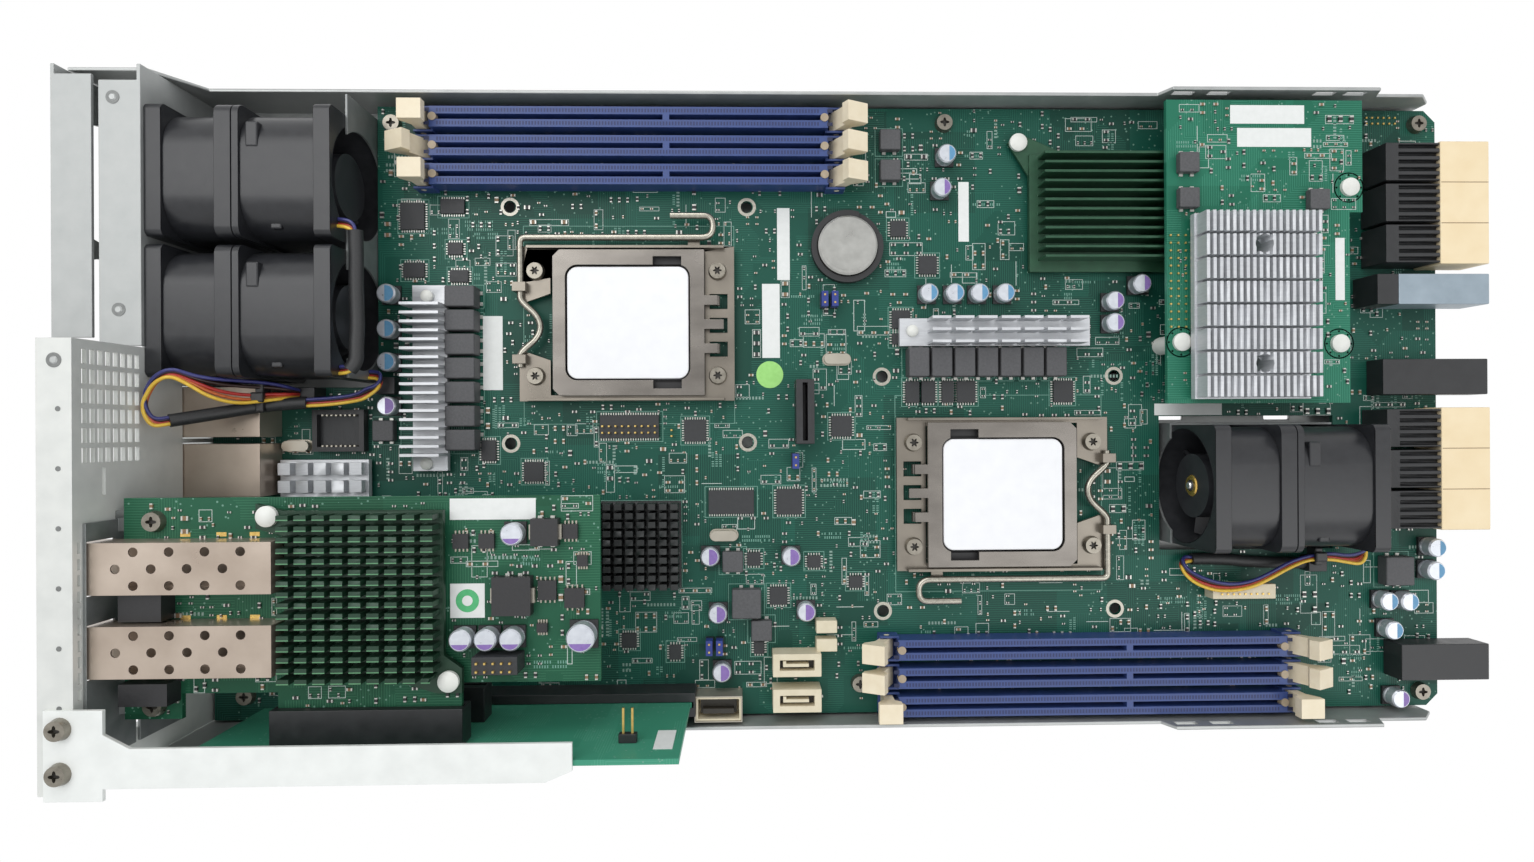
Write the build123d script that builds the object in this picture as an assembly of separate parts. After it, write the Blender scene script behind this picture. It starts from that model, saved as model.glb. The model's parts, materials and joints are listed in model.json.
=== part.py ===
# Server node tray with main board, fans, cards and connectors.
# The origin is the middle of the tray underside, x runs along the tray, z is up.
from build123d import *
from math import sin, cos, tan, radians, pi
import os

os.makedirs("parts", exist_ok=True)

# Tray sheet metal
sheet = 1.2
tray_width = 210.0
io_end = -226.4
tail_end = 217.0
wall_tail = 213.0
low_wall = 20.0
raised_wall = 25.5
end_wall = 36.0
wall_corner = 6.0
raised_start = 117.0
raised_end = 191.0
raised_step = 2.5
upper_slope_start = -203.0
upper_slope_end = -193.5
lower_slope_start = -150.0
lower_slope_end = -140.0
wall_slot_length = 7.0
wall_slot_height = 2.6
wall_slot_z = 21.0
wall_slot_shares = (0.1, 0.26, 0.74, 0.88)
floor_slot_length = 9.0
floor_slot_width = 2.4
floor_slot_shares = (0.1, 0.8)

# Fans
fan_length = 55.0
fan_side = 40.0
fan_flange = 5.0
fan_mid_flange = 7.6
fan_barrel_radius = 19.7
fan_bore_radius = 18.7
fan_wall_gap = 12.5
fan_row_pitch = 42.25
fan_1_y = tray_width / 2 - fan_wall_gap - fan_side / 2
fan_2_y = fan_1_y - fan_row_pitch
fan_centre_ys = (fan_1_y, fan_2_y)
fan_3_left = 124.2
fan_3_y = -25.6
hub_radius = 10.5
hub_length = 20.0
hub_gap = 0.5
stator_length = 8.0
strut_width = 2.4
strut_thickness = 3.0
blade_reach = 18.1
blade_chord = 13.0
blade_thickness = 1.1
blade_pitch = 52.0
front_blades = 7
rear_blades = 5
fan_hole_radius = 1.7
fan_hole_pitch = 32.0
bracket_sheet = 0.8
bracket_height = 30.0
bracket_radius = 17.0
bracket_reach = 19.85
bracket_wall_gap = 6.0
bracket_low_y = fan_2_y - bracket_reach
bracket_high_y = tray_width / 2 - bracket_wall_gap
bracket_low_height = 13.0
cutout_left = 121.6
cutout_right = 182.4
cutout_low = -48.4
cutout_high = -2.4

# Main board
board_thickness = 1.6
board_top = 10.0
board_length = 418.0
board_margin = 2.0
board_width = tray_width - 2 * board_margin
board_left = -198.8
board_right = 218.9
board_step_x = -143.9
board_step_gap = 1.75
board_step_y = fan_2_y - fan_side / 2 - board_step_gap
board_corner = 4.0
board_hole_radius = 1.7
board_screw_shares = (
    (0.114, 0.475),
    (0.507, 0.476),
    (0.508, -0.475),
    (-0.332, 0.471),
    (0.043, -0.451),
    (-0.45, -0.46),
    (-0.33, -0.475),
)
screw_radius = 3.1
screw_head = 2.0
shank_radius = 1.5
standoff_radius = 3.0

# Rear panels
panel_face = -200.0
hood_reach = 11.25
panel_end = fan_2_y - hood_reach
panel_gap = 0.4
panel_height = 69.0
flange_reach = 9.5
hood_height = 42.4
hood_flange_gap = 6.4
hood_flange_end = tray_width / 2 - hood_flange_gap
inner_flange_reach = 12.4
outer_flange_width = 12.0
outer_flange_low_gap = 2.9
outer_flange_high_gap = 4.6
outer_flange_start = panel_end + outer_flange_low_gap
outer_flange_end = tray_width / 2 - outer_flange_high_gap
vent_rows = 6
vent_columns = 8
vent_inset = 4.6
vent_first_y = panel_end - vent_inset
vent_pitch_y = 5.4
vent_drop = 25.5
vent_first_z = panel_height - vent_drop
vent_pitch_z = 2.9
vent_length = 4.0
vent_height = 1.7
dash_count = 10
dash_pitch = 4.4
dash_length = 3.0
dash_height = 1.0
dash_drop = 2.8
dash_z = panel_height - dash_drop
slit_length = 7.6
slit_drop = 12.0
slit_z = panel_height - slit_drop

# Riser and slots
riser_inset = 7.5
riser_face = riser_inset - board_width / 2
riser_left = -176.0
riser_right = -39.0
riser_bottom = 13.4
main_slot_left = -127.0
main_slot_right = -37.4
slot_width = 7.8
slot_height = 11.2
slot_reach = 10.7
slot_mouth = riser_face + slot_reach
slot_left = -154.6
slot_right = -100.7
lower_slot_z = 33.9
slot_clearance = 0.1
slot_depth = 8.0
centre_slot_left = -3.8
centre_slot_right = 2.2
centre_slot_low = -11.2
centre_slot_high = 10.2
centre_slot_height = 10.0
riser_header_x = -54.5
riser_header_drop = 13.0
riser_header_z = panel_height - riser_header_drop
riser_header_length = 5.2
riser_header_reach = 2.6

# Bar over the riser
bar_left = -184.5
bar_right = -67.6
bar_outer_reach = 5.6
bar_inner_reach = 5.0
bar_low = riser_face - bar_outer_reach
bar_high = riser_face + bar_inner_reach
bar_lip = 6.0
bar_notch = 7.3
bar_notch_depth = 3.0
tab_left = -207.0
tab_right = -191.5
tab_top_reach = 10.3
tab_bottom_reach = 3.3
tab_chamfer = 3.8
tab_top = bar_high + tab_top_reach
tab_bottom = bar_low - tab_bottom_reach
tab_chamfer_y = bar_high + tab_chamfer
tab_screw_x = -202.6
tab_screw_inset = 4.8
tab_screw_pitch = 11.9
tab_screw_ys = (tab_top - tab_screw_inset, tab_top - tab_screw_inset - tab_screw_pitch)

# Network card in the riser
network_drop = 14.0
network_top = panel_height - network_drop
network_left = -196.4
network_right = -62.3
network_width = 53.2
finger_reach = 17.3
network_low = riser_face + finger_reach
network_high = network_low + network_width
finger_left = -153.6
finger_right = -101.9
finger_gap = 3.1
finger_low = riser_face + finger_gap
foot_left = -180.4
foot_gap = 7.9
foot_notch_depth = 2.2
foot_low = riser_face + foot_gap
foot_notch = network_low - foot_notch_depth
cage_length = 53.0
cage_left = -203.2
cage_width = 14.25
cage_height = 9.7
cage_wall = 0.5
cage_inset = 18.6
cage_pitch = 22.8
cage_centre_ys = (network_high - cage_inset, network_high - cage_inset - cage_pitch)
cage_vent_radius = 1.3
cage_vent_pitch = 9.6
cage_vent_first = 16.0
cage_vent_columns = 4
cage_vent_offset = 4.6
slot_bracket_thickness = 0.9
slot_bracket_overlap = 1.5
slot_bracket_inset = 6.0
slot_bracket_below = 8.5
slot_bracket_above = 10.5
slot_bracket_low = riser_face - slot_bracket_overlap
slot_bracket_high = network_high - slot_bracket_inset
slot_bracket_bottom = network_top - slot_bracket_below
slot_bracket_top = network_top + slot_bracket_above
filler_gap = 1.7
filler_bottom = 26.4
filler_top = slot_bracket_bottom - filler_gap
card_opening_width = 60.0
card_opening_gap = 8.0
card_opening_high = network_high - card_opening_gap
card_opening_low = card_opening_high - card_opening_width
card_opening_bottom = 26.0
card_opening_drop = 3.8
card_opening_top = panel_height - card_opening_drop
dash_inset = 3.0
dash_first_y = card_opening_high - dash_inset
slit_gap = 5.0
slit_y = network_high + slit_gap
bracket_ear_end = -183.2
bracket_ear_width = 6.0
bracket_ear_inset = 6.6
bracket_ear_drop = 5.4
bracket_ear_ys = (network_high - bracket_ear_inset, network_low - bracket_ear_drop)
network_screw_x = -187.6
network_chip = 2.0
network_sink_left = -149.6
network_sink_right = -105.6
network_sink_low_gap = 1.8
network_sink_high_gap = 3.6
network_sink_low = network_low + network_sink_low_gap
network_sink_high = network_high - network_sink_high_gap
network_sink_base = 2.0
network_sink_top = 65.0
network_columns = 9
network_rows = 16
network_length = network_right - network_left
network_ear_shares = ((0.3162, 0.906), (0.689, 0.0301))
network_capacitor_shares = ((0.8218, 0.8026), (0.7144, 0.2481), (0.7666, 0.2481), (0.8188, 0.2481))
network_big_capacitor_shares = (0.9657, 0.2575)
network_big_radius = 4.0
network_big_height = 7.0
network_choke_shares = ((0.8867, 0.8083), (0.8173, 0.4699))
network_choke_sides = (7.4, 10.6)
network_header_shares = (0.7912, 0.1241)
network_header_length = 12.7
network_header_width = 5.0
network_header_height = 8.0

# Memory sockets and latches
row_pitch = 9.4
upper_row_inset = 6.2
lower_row_inset = 4.3
upper_row = board_width / 2 - upper_row_inset
lower_row = lower_row_inset - board_width / 2
upper_rows = tuple(upper_row - step * row_pitch for step in (0, 1, 2))
lower_rows = tuple(lower_row + step * row_pitch for step in (2, 1, 0))
socket_rows = upper_rows + lower_rows
upper_socket_x = -58.3
lower_socket_x = 95.4
socket_half = 65.6
socket_width = 6.8
socket_height = 8.5
socket_slot = 1.7
socket_slot_depth = 6.0
key_half = 1.1
key_offset = 12.0
pivot_offset = 68.8
pivot_height = 3.8
cheek_end = 71.4
cheek_gap = 7.0
cheek_wall = 0.7
cheek_height = 6.2
cheek_floor = 0.6
pin_radius = 0.9
pin_clearance = 0.08
latch_width = 6.4
latch_foot = 2.2
latch_inner = 1.5
latch_outer = 1.8
latch_hook = 3.4
latch_hook_low = 8.6
latch_neck = 7.2
latch_thumb = 4.3
latch_thumb_low = 9.6
latch_shoulder = 6.0
latch_top = 12.0
latch_open_angle = 28.0
open_latches = (2, 3, 4, 6, 7, 8, 9, 10)

# Processor sockets: shares are of the bolt pitch
bolt_pitch = 80.0
bolt_radius = 2.0
socket_a = (-60.0, 29.3)
socket_b = (66.3, -28.5)
frame_length = 71.8
frame_width = 51.8
frame_bottom = 12.0
frame_thickness = 1.5
frame_window_left = -25.5
frame_window_right = 26.0
frame_window_half = 23.9
crank_notch_low = -9.5
crank_notch_high = 7.4
crank_notch_depth = 5.4
rail_inner = 24.9
rail_thickness = 0.9
rail_height = 4.2
rail_left = -33.0
rail_right = 32.5
frame_post_radius = 3.4
torx_x = 30.3
torx_y = 17.5
torx_radius = 3.1
torx_head = 2.0
body_half_y = 22.6
body_left = -24.4
body_right = 24.9
body_height = 4.2
field_height = 2.5
field_length = 42.2
field_width = 39.4
opening_x = 0.65
cover_length = 40.2
cover_width = 37.2
cover_height = 6.5
opening_clearance = 0.5
opening_corner = 4.0
opening_notch_left = 9.0
opening_notch_right = 18.4
opening_notch_reach = 21.9
plate_left = -24.1
plate_right = 26.0
plate_half = 24.2
plate_bottom = 15.6
plate_thickness = 1.4
skirt_thickness = 1.1
plate_bevel = 2.2
tongue_width = 3.2
tongue_reach = 30.4
middle_tongue_reach = 32.4
tongue_ys = (7.4, -0.6, -8.6)
tongue_slot_left = 27.6
tongue_slot_right = 33.6
tongue_slot_width = 5.0
hinge_x = 30.0
hinge_z = 14.9
curl_radius = 1.2
lever_x = -35.2
lever_z = 14.9
lever_radius = 1.1
lever_clearance = 0.1
lever_end_y = -14.5
crank_x = -28.6
crank_low = -4.2
crank_high = 1.8
lug_half = 1.5
lug_reach = 2.2
lug_top = 17.0
lug_ys = (12.0, -12.0)
arm_y = 28.6
arm_end = 24.6
hook_x = 28.8
hook_y = 32.4
hook_top = 35.9
hook_end = 14.7
keeper_left = 20.4
keeper_right = 24.4
keeper_reach = 30.0
keeper_top = 13.5

# Heatsinks on the main board
chip_height = 1.2
left_sink_x = -125.5
left_sink_width = 11.4
left_sink_low = -19.6
left_sink_high = 42.2
sink_base = 2.4
sink_top = 22.0
left_fin_count = 18
left_fin_first = -14.2
left_fin_pitch = 2.9
fin_thickness = 0.9
left_fin_reach = 6.9
right_sink_left = 31.6
right_sink_right = 96.4
right_sink_low = 21.6
right_sink_high = 30.9
right_fin_columns = 7
right_fin_first = 41.0
right_fin_pitch = 7.62
right_fin_length = 6.2
right_fin_rows = 3
right_fin_low = 22.0
right_fin_step = 3.95
management_x = -160.3
management_y = -30.2
management_side = 29.0
management_top = 17.0
management_fins = 5
chipset_left = 76.0
chipset_right = 127.0
chipset_low = 46.6
chipset_high = 86.4
chipset_base = 2.3
chipset_top = 21.0
chipset_fins = 12
chipset_fin_low = 50.2
chipset_fin_pitch = 3.12
chipset_fin_left = 78.8
chipset_ear_x = 72.4
chipset_ear_y = 90.6
ear_width = 7.0
ear_thickness = 1.2
controller_left = -71.8
controller_right = -42.3
controller_low = -59.5
controller_high = -30.2
controller_top = 20.0
controller_columns = 8
controller_rows = 10
pin_fin_share = 0.68
sink_pin_places = ((-126.2, 38.6), (-126.5, -17.2), (35.8, 26.6))
sink_pin_radius = 2.4

# Parts soldered on the main board, places as shares of board length and width
left_inductor_x = -114.7
left_inductor_first = 38.2
left_inductor_pitch = 7.93
left_inductor_length = 9.8
left_inductor_width = 6.9
right_inductor_first = 37.6
right_inductor_pitch = 7.72
right_inductor_y = 16.0
inductor_count = 7
inductor_height = 7.0
small_inductor_side = 7.0
small_inductor_height = 3.6
big_inductor_side = 9.8
big_inductor_height = 4.6
small_inductor_shares = ((0.069, 0.444), (0.069, 0.394), (-0.06, -0.247), (-0.037, -0.36), (-0.338, -0.03))
big_inductor_shares = ((-0.049, -0.315), (0.485, -0.271))
capacitor_radius = 3.15
capacitor_height = 5.8
capacitor_foot = 1.0
capacitor_shares = (
    (-0.333, 0.191),
    (-0.333, 0.134),
    (-0.333, 0.081),
    (-0.333, 0.01),
    (0.099, 0.191),
    (0.12, 0.191),
    (0.14, 0.191),
    (0.161, 0.191),
    (0.114, 0.418),
    (0.11, 0.363),
    (0.514, -0.232),
    (0.513, -0.27),
    (0.474, -0.32),
    (0.491, -0.321),
    (0.478, -0.368),
    (0.483, -0.481),
    (-0.078, -0.237),
    (-0.013, -0.238),
    (-0.072, -0.33),
    (-0.001, -0.328),
    (-0.069, -0.425),
    (0.272, 0.206),
    (0.25, 0.178),
    (0.25, 0.142),
)
# Each row: place shares along and across the board, then length and width shares of the board width
chip_shares = (
    (-0.061, -0.15, 0.075, 0.039),
    (-0.014, -0.15, 0.042, 0.042),
    (-0.09, -0.032, 0.036, 0.036),
    (0.029, -0.026, 0.034, 0.034),
    (-0.144, -0.376, 0.024, 0.024),
    (-0.107, -0.396, 0.019, 0.024),
    (-0.023, -0.305, 0.029, 0.029),
    (-0.039, -0.39, 0.017, 0.02),
    (-0.043, -0.244, 0.022, 0.022),
    (0.04, -0.283, 0.022, 0.02),
    (0.006, -0.249, 0.022, 0.02),
    (-0.316, 0.32, 0.039, 0.044),
    (-0.284, 0.336, 0.039, 0.024),
    (-0.282, 0.267, 0.024, 0.02),
    (-0.315, 0.232, 0.034, 0.024),
    (-0.279, 0.222, 0.03, 0.02),
    (-0.256, -0.063, 0.024, 0.034),
    (-0.143, -0.025, 0.097, 0.038),
    (-0.22, -0.098, 0.032, 0.032),
    (-0.373, -0.03, 0.068, 0.054),
    (0.087, 0.03, 0.023, 0.036),
    (0.1, 0.03, 0.023, 0.036),
    (0.116, 0.03, 0.02, 0.036),
    (0.131, 0.03, 0.031, 0.036),
    (0.211, 0.03, 0.033, 0.036),
    (0.078, 0.15, 0.03, 0.03),
    (0.077, 0.118, 0.026, 0.018),
    (0.076, 0.3, 0.026, 0.026),
    (0.1, 0.24, 0.03, 0.03),
)

# Coin cell
cell_x = 14.2
cell_y = 55.5
cell_radius = 10.0
cell_height = 3.2
holder_radius = 12.2
holder_gap = 0.35
holder_floor = 1.4
holder_wall = 3.0
holder_open = 8.0

# Storage card on nylon posts
storage_left = 117.8
storage_right = 183.1
storage_step_x = 178.8
storage_low = 1.5
storage_inset = 1.9
storage_high = board_width / 2 - storage_inset
storage_step_y = 64.3
storage_top = 24.0
storage_sink_left = 124.6
storage_sink_right = 162.7
storage_sink_low = 2.8
storage_sink_high = 62.7
storage_sink_top = 35.0
storage_chip = 2.0
storage_fins = 18
storage_segments = 8
storage_fin_share = 0.5
storage_gap_share = 0.12
storage_hole_ys = (51.7, 13.8)
storage_hole_radius = 2.9
storage_post_places = ((122.4, 21.6), (178.5, 72.4), (175.0, 21.0))
storage_choke_shares = ((0.297, 0.388), (0.297, 0.332), (0.4, 0.33))
storage_choke_side = 6.6
storage_choke_height = 3.0
nylon_radius = 3.0
nylon_head_radius = 3.6
nylon_head = 2.0

# Plug end connectors
receptacle_left = 192.6
receptacle_right = 211.0
wafer_right = 227.6
receptacle_width = 12.6
receptacle_pitch = 13.6
receptacle_height = 12.0
receptacle_first_shares = (0.3966, -0.0335)
receptacle_rows = 3
rib_count = 5
rib_share = 0.45
rib_depth = 1.6
rib_start = 197.0
guide_left = 196.8
guide_right = 227.5
guide_share = 0.191
guide_width = 10.1
guide_height = 12.0
guide_base_left = 189.6
key_left = 194.3
key_right = 230.4
key_share = 0.0505
key_width = 12.0
key_height = 8.0
plug_left = 199.8
plug_right = 229.9
plug_share = -0.4167
plug_width = 12.1
plug_height = 8.6
plug_bore_radius = 3.0
plug_bore_depth = 14.0

# Ports and white connectors
lan_left = -203.6
lan_right = -176.0
lan_height = 13.5
port_clearance = 0.4
lan_widths = (16.1, 17.1)
lan_gap = 2.1
lan_high = board_step_y - port_clearance
lan_middle = lan_high - lan_widths[0] - lan_gap
lan_spans = ((lan_high - lan_widths[0], lan_high), (lan_middle - lan_widths[1], lan_middle))
lan_mouth_depth = 15.0
lan_mouth_width = 11.8
lan_mouth_low = 1.6
lan_mouth_height = 9.2
sata_left = -11.9
sata_right = 4.2
sata_width = 7.6
sata_height = 9.0
sata_pitch = 11.7
sata_inset = 6.9
sata_low_y = sata_inset - board_width / 2
sata_ys = (sata_low_y + sata_pitch, sata_low_y)
sata_mouth_length = 11.4
sata_mouth_width = 3.4
sata_mouth_depth = 6.0
usb_x = -29.9
usb_inset = 4.6
usb_y = usb_inset - board_width / 2
usb_length = 15.0
usb_width = 7.8
usb_wall = 0.7
fan_header_x = 148.0
fan_header_y = -62.0
fan_header_length = 21.6
fan_header_width = 5.0
fan_header_height = 5.6
small_header_places = ((6.3, -72.5), (6.3, -78.7))
small_header_length = 7.0
small_header_width = 4.2

# Fan cables: route points in order from where each one starts
sleeve_radius = 2.0
bundle_radius = 1.3
bend_share = 0.45
front_sleeve_route = (
    (-193.6, -2.9, 40.0),
    (-184.5, -0.6, 31.5),
    (-172.0, 2.4, 24.0),
    (-162.0, 3.0, 21.7),
)
front_wire_route = (
    (-193.6, -2.9, 40.0),
    (-196.4, -3.6, 42.6),
    (-197.8, -0.2, 44.0),
    (-198.0, 2.6, 44.3),
    (-197.2, 5.6, 44.2),
    (-194.4, 9.6, 44.6),
    (-190.0, 11.6, 44.4),
    (-185.6, 9.2, 42.0),
    (-181.6, 7.0, 38.0),
    (-176.5, 6.0, 32.0),
    (-171.0, 6.4, 26.4),
    (-166.6, 6.2, 22.6),
    (-166.4, 6.2, 18.0),
)
fan_2_wire_route = (
    (-162.0, 3.0, 21.7),
    (-154.5, 3.5, 20.0),
    (-146.8, 4.6, 19.9),
    (-143.6, 6.0, 20.2),
    (-141.4, 7.2, 19.8),
    (-139.9, 8.8, 19.0),
    (-139.8, 10.9, 18.1),
    (-141.4, 12.3, 16.6),
    (-144.2, 12.3, 16.6),
)
fan_1_sleeve_route = (
    (-145.0, 57.6, 36.0),
    (-141.9, 57.5, 36.0),
    (-139.8, 55.3, 35.9),
    (-139.7, 49.5, 35.4),
    (-140.3, 38.5, 34.7),
    (-139.9, 27.0, 34.6),
    (-140.2, 19.0, 34.9),
    (-140.0, 14.8, 35.2),
    (-141.9, 12.6, 35.4),
    (-145.0, 12.5, 35.4),
)
rear_sleeve_route = (
    (131.5, -51.3, 12.2),
    (141.0, -51.2, 12.1),
    (151.0, -52.3, 12.2),
    (161.0, -52.8, 12.1),
    (170.4, -52.9, 12.2),
)
rear_wire_route = (
    (131.5, -51.3, 12.2),
    (129.2, -51.3, 12.2),
    (127.5, -52.3, 13.1),
    (127.9, -54.9, 14.9),
    (131.0, -57.6, 16.4),
    (137.0, -59.8, 17.1),
    (143.5, -60.2, 17.2),
    (150.0, -59.0, 17.1),
    (156.2, -56.0, 17.2),
    (162.4, -52.6, 17.1),
    (169.2, -50.3, 17.2),
    (176.4, -49.9, 17.1),
    (182.0, -50.9, 17.2),
    (186.6, -50.7, 17.1),
    (188.6, -48.7, 17.1),
    (188.6, -45.9, 17.0),
    (186.6, -43.9, 17.0),
    (183.0, -44.0, 17.1),
    (179.2, -43.8, 17.0),
)
plug_sizes = ((10.0, 4.0, 8.0), (6.4, 5.6, 5.0), (6.2, 5.2, 5.4))


def board_x(share):
    return share * board_length


def board_y(share):
    return share * board_width


def network_place(shares):
    return (network_left + shares[0] * network_length, network_low + shares[1] * network_width)


def network_ear_places():
    return [network_place(shares) for shares in network_ear_shares]


def block(x0, x1, y0, y1, z0, z1):
    low_corner = (Align.MIN, Align.MIN, Align.MIN)
    return Pos(x0, y0, z0) * Box(x1 - x0, y1 - y0, z1 - z0, align=low_corner)


def slab(x, y, length, width, z0, z1):
    seated = (Align.CENTER, Align.CENTER, Align.MIN)
    return Pos(x, y, z0) * Box(length, width, z1 - z0, align=seated)


def post(x, y, radius, z0, z1):
    seated = (Align.CENTER, Align.CENTER, Align.MIN)
    return Pos(x, y, z0) * Cylinder(radius, z1 - z0, align=seated)


def rod_x(y, z, radius, x0, x1):
    seated = (Align.CENTER, Align.CENTER, Align.MIN)
    return Pos(x0, y, z) * Rot(0, 90, 0) * Cylinder(radius, x1 - x0, align=seated)


def rod_y(x, z, radius, y0, y1):
    seated = (Align.CENTER, Align.CENTER, Align.MIN)
    return Pos(x, y1, z) * Rot(90, 0, 0) * Cylinder(radius, y1 - y0, align=seated)


def flat_shape(points, z0, z1):
    face = make_face(Polyline(*[(x, y, z0) for x, y in points], close=True))
    return extrude(face, z1 - z0, dir=(0, 0, 1))


def upright_shape(points, y0, y1):
    face = make_face(Polyline(*[(x, y0, z) for x, z in points], close=True))
    return extrude(face, y1 - y0, dir=(0, 1, 0))


def gather(shapes):
    return Compound([solid for shape in shapes for solid in shape.solids()])


def save(name, shape):
    export_step(shape, "parts/" + name + ".step")


# Tray
def side_wall(y0, slope_start, slope_end):
    outline = [
        (io_end, 0),
        (wall_tail, 0),
        (wall_tail, low_wall - wall_corner),
        (wall_tail - wall_corner, low_wall),
        (raised_end, low_wall),
        (raised_end - raised_step, raised_wall),
        (raised_start + raised_step, raised_wall),
        (raised_start, low_wall),
        (slope_end, low_wall),
        (slope_start, end_wall),
        (io_end, end_wall),
    ]
    wall = upright_shape(outline, y0, y0 + sheet)
    for share in wall_slot_shares:
        x = raised_start + share * (raised_end - raised_start)
        z = wall_slot_z
        half = wall_slot_length / 2
        wall -= block(x - half, x + half, y0 - sheet, y0 + 2 * sheet, z, z + wall_slot_height)
    return wall


def tray_pan():
    half = tray_width / 2
    floor = block(io_end, tail_end, -half, half, 0, sheet)
    slot_y = cutout_high - 2 * sheet
    for share in floor_slot_shares:
        x = fan_3_left + share * fan_length
        floor -= slab(x, slot_y + 2 * sheet, floor_slot_length, floor_slot_width, -sheet, 2 * sheet)
    upper = side_wall(half - sheet, upper_slope_start, upper_slope_end)
    lower = side_wall(-half, lower_slope_start, lower_slope_end)
    return floor + upper + lower


def fan_axis_z():
    return sheet + fan_side / 2


def fan_openings(x0, x1):
    return [rod_x(y, fan_axis_z(), fan_bore_radius, x0, x1) for y in fan_centre_ys]


def fan_exhaust_panel():
    low = panel_end + panel_gap
    high = tray_width / 2 - sheet - panel_gap
    face = panel_face
    panel = block(io_end, face, low, high, sheet, 2 * sheet)
    panel += block(face - sheet, face, low, high, sheet, hood_height)
    panel += block(face - inner_flange_reach, face, low, hood_flange_end, hood_height - sheet, hood_height)
    panel += block(io_end, io_end + sheet, low, high, sheet, hood_height)
    flange_right = io_end + outer_flange_width
    panel += block(
        io_end, flange_right, outer_flange_start, outer_flange_end, hood_height - sheet, hood_height
    )
    return panel - fan_openings(io_end - sheet, face + sheet)


def io_panel():
    half = tray_width / 2 - sheet - panel_gap
    face = panel_face
    back = face - sheet
    panel = block(back, face, -half, panel_end, sheet, panel_height)
    panel += block(face - flange_reach, face, -half, panel_end, panel_height - sheet, panel_height)
    cuts = fan_openings(back - sheet, face + sheet)
    far = face + sheet
    near = back - sheet
    cuts.append(
        block(near, far, card_opening_low, card_opening_high, card_opening_bottom, card_opening_top)
    )
    for low, high in lan_spans:
        top = board_top + lan_height + port_clearance
        bottom = board_top - board_thickness
        cuts.append(block(near, far, low - port_clearance, high + port_clearance, bottom, top))
    for row in range(vent_rows):
        y = vent_first_y - row * vent_pitch_y
        for column in range(vent_columns):
            z = vent_first_z + column * vent_pitch_z
            half_length = vent_length / 2
            cuts.append(block(near, far, y - half_length, y + half_length, z, z + vent_height))
    for step in range(dash_count):
        y = dash_first_y - step * dash_pitch
        cuts.append(block(near, far, y - dash_length, y, dash_z, dash_z + dash_height))
    slit_half = slit_length / 2
    cuts.append(block(near, far, slit_y - slit_half, slit_y + slit_half, slit_z, slit_z + sheet))
    return panel - cuts


def card_retaining_bar():
    low = panel_height
    high = panel_height + sheet
    outline = [
        (tab_left, tab_bottom),
        (tab_right, tab_bottom),
        (tab_right, bar_low),
        (bar_right - bar_notch, bar_low),
        (bar_right, bar_low + bar_notch_depth),
        (bar_right, bar_high),
        (bar_left, bar_high),
        (tab_right, tab_chamfer_y),
        (tab_right, tab_top),
        (tab_left, tab_top),
    ]
    bar = flat_shape(outline, low, high)
    lip_left = panel_face + flange_reach
    bar += block(lip_left, bar_right - bar_notch, bar_low, bar_low + sheet, low - bar_lip, high)
    return bar - [post(tab_screw_x, y, shank_radius + slot_clearance, low, high) for y in tab_screw_ys]


# Fan parts
def left_fan_bracket():
    left = panel_face + fan_length
    plate = block(left, left + bracket_sheet, bracket_low_y, bracket_high_y, sheet, sheet + bracket_height)
    cuts = [rod_x(y, fan_axis_z(), bracket_radius, left - sheet, left + 2 * sheet) for y in fan_centre_ys]
    return plate - cuts


def fan_3_bracket():
    low = fan_3_y - fan_side / 2
    high = fan_3_y + fan_side / 2
    left = fan_3_left - bracket_sheet
    top = sheet + bracket_low_height
    plate = block(left, fan_3_left, low, high + bracket_sheet, sheet, top)
    plate += block(left, fan_3_left + fan_length, high, high + bracket_sheet, sheet, top)
    return plate - rod_x(fan_3_y, fan_axis_z(), bracket_radius, left - sheet, fan_3_left + sheet)


def fan_housing(left, y):
    right = left + fan_length
    middle = left + fan_length / 2
    z = fan_axis_z()
    half = fan_side / 2
    body = rod_x(y, z, fan_barrel_radius, left, right)
    spans = (
        (left, left + fan_flange),
        (middle - fan_mid_flange / 2, middle + fan_mid_flange / 2),
        (right - fan_flange, right),
    )
    for x0, x1 in spans:
        body += block(x0, x1, y - half, y + half, sheet, sheet + fan_side)
    body -= rod_x(y, z, fan_bore_radius, left - sheet, right + sheet)
    hole = fan_hole_pitch / 2
    for x0, x1 in (spans[0], spans[2]):
        body -= [rod_x(y + a, z + b, fan_hole_radius, x0, x1) for a in (-hole, hole) for b in (-hole, hole)]
    stator = rod_x(y, z, hub_radius, middle - stator_length / 2, middle + stator_length / 2)
    reach = fan_bore_radius + blade_thickness / 2
    for turn in (45, 135):
        strut = Box(strut_thickness, strut_width, 2 * reach)
        stator += Pos(middle, y, z) * Rot(turn, 0, 0) * strut
    return body + stator


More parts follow.
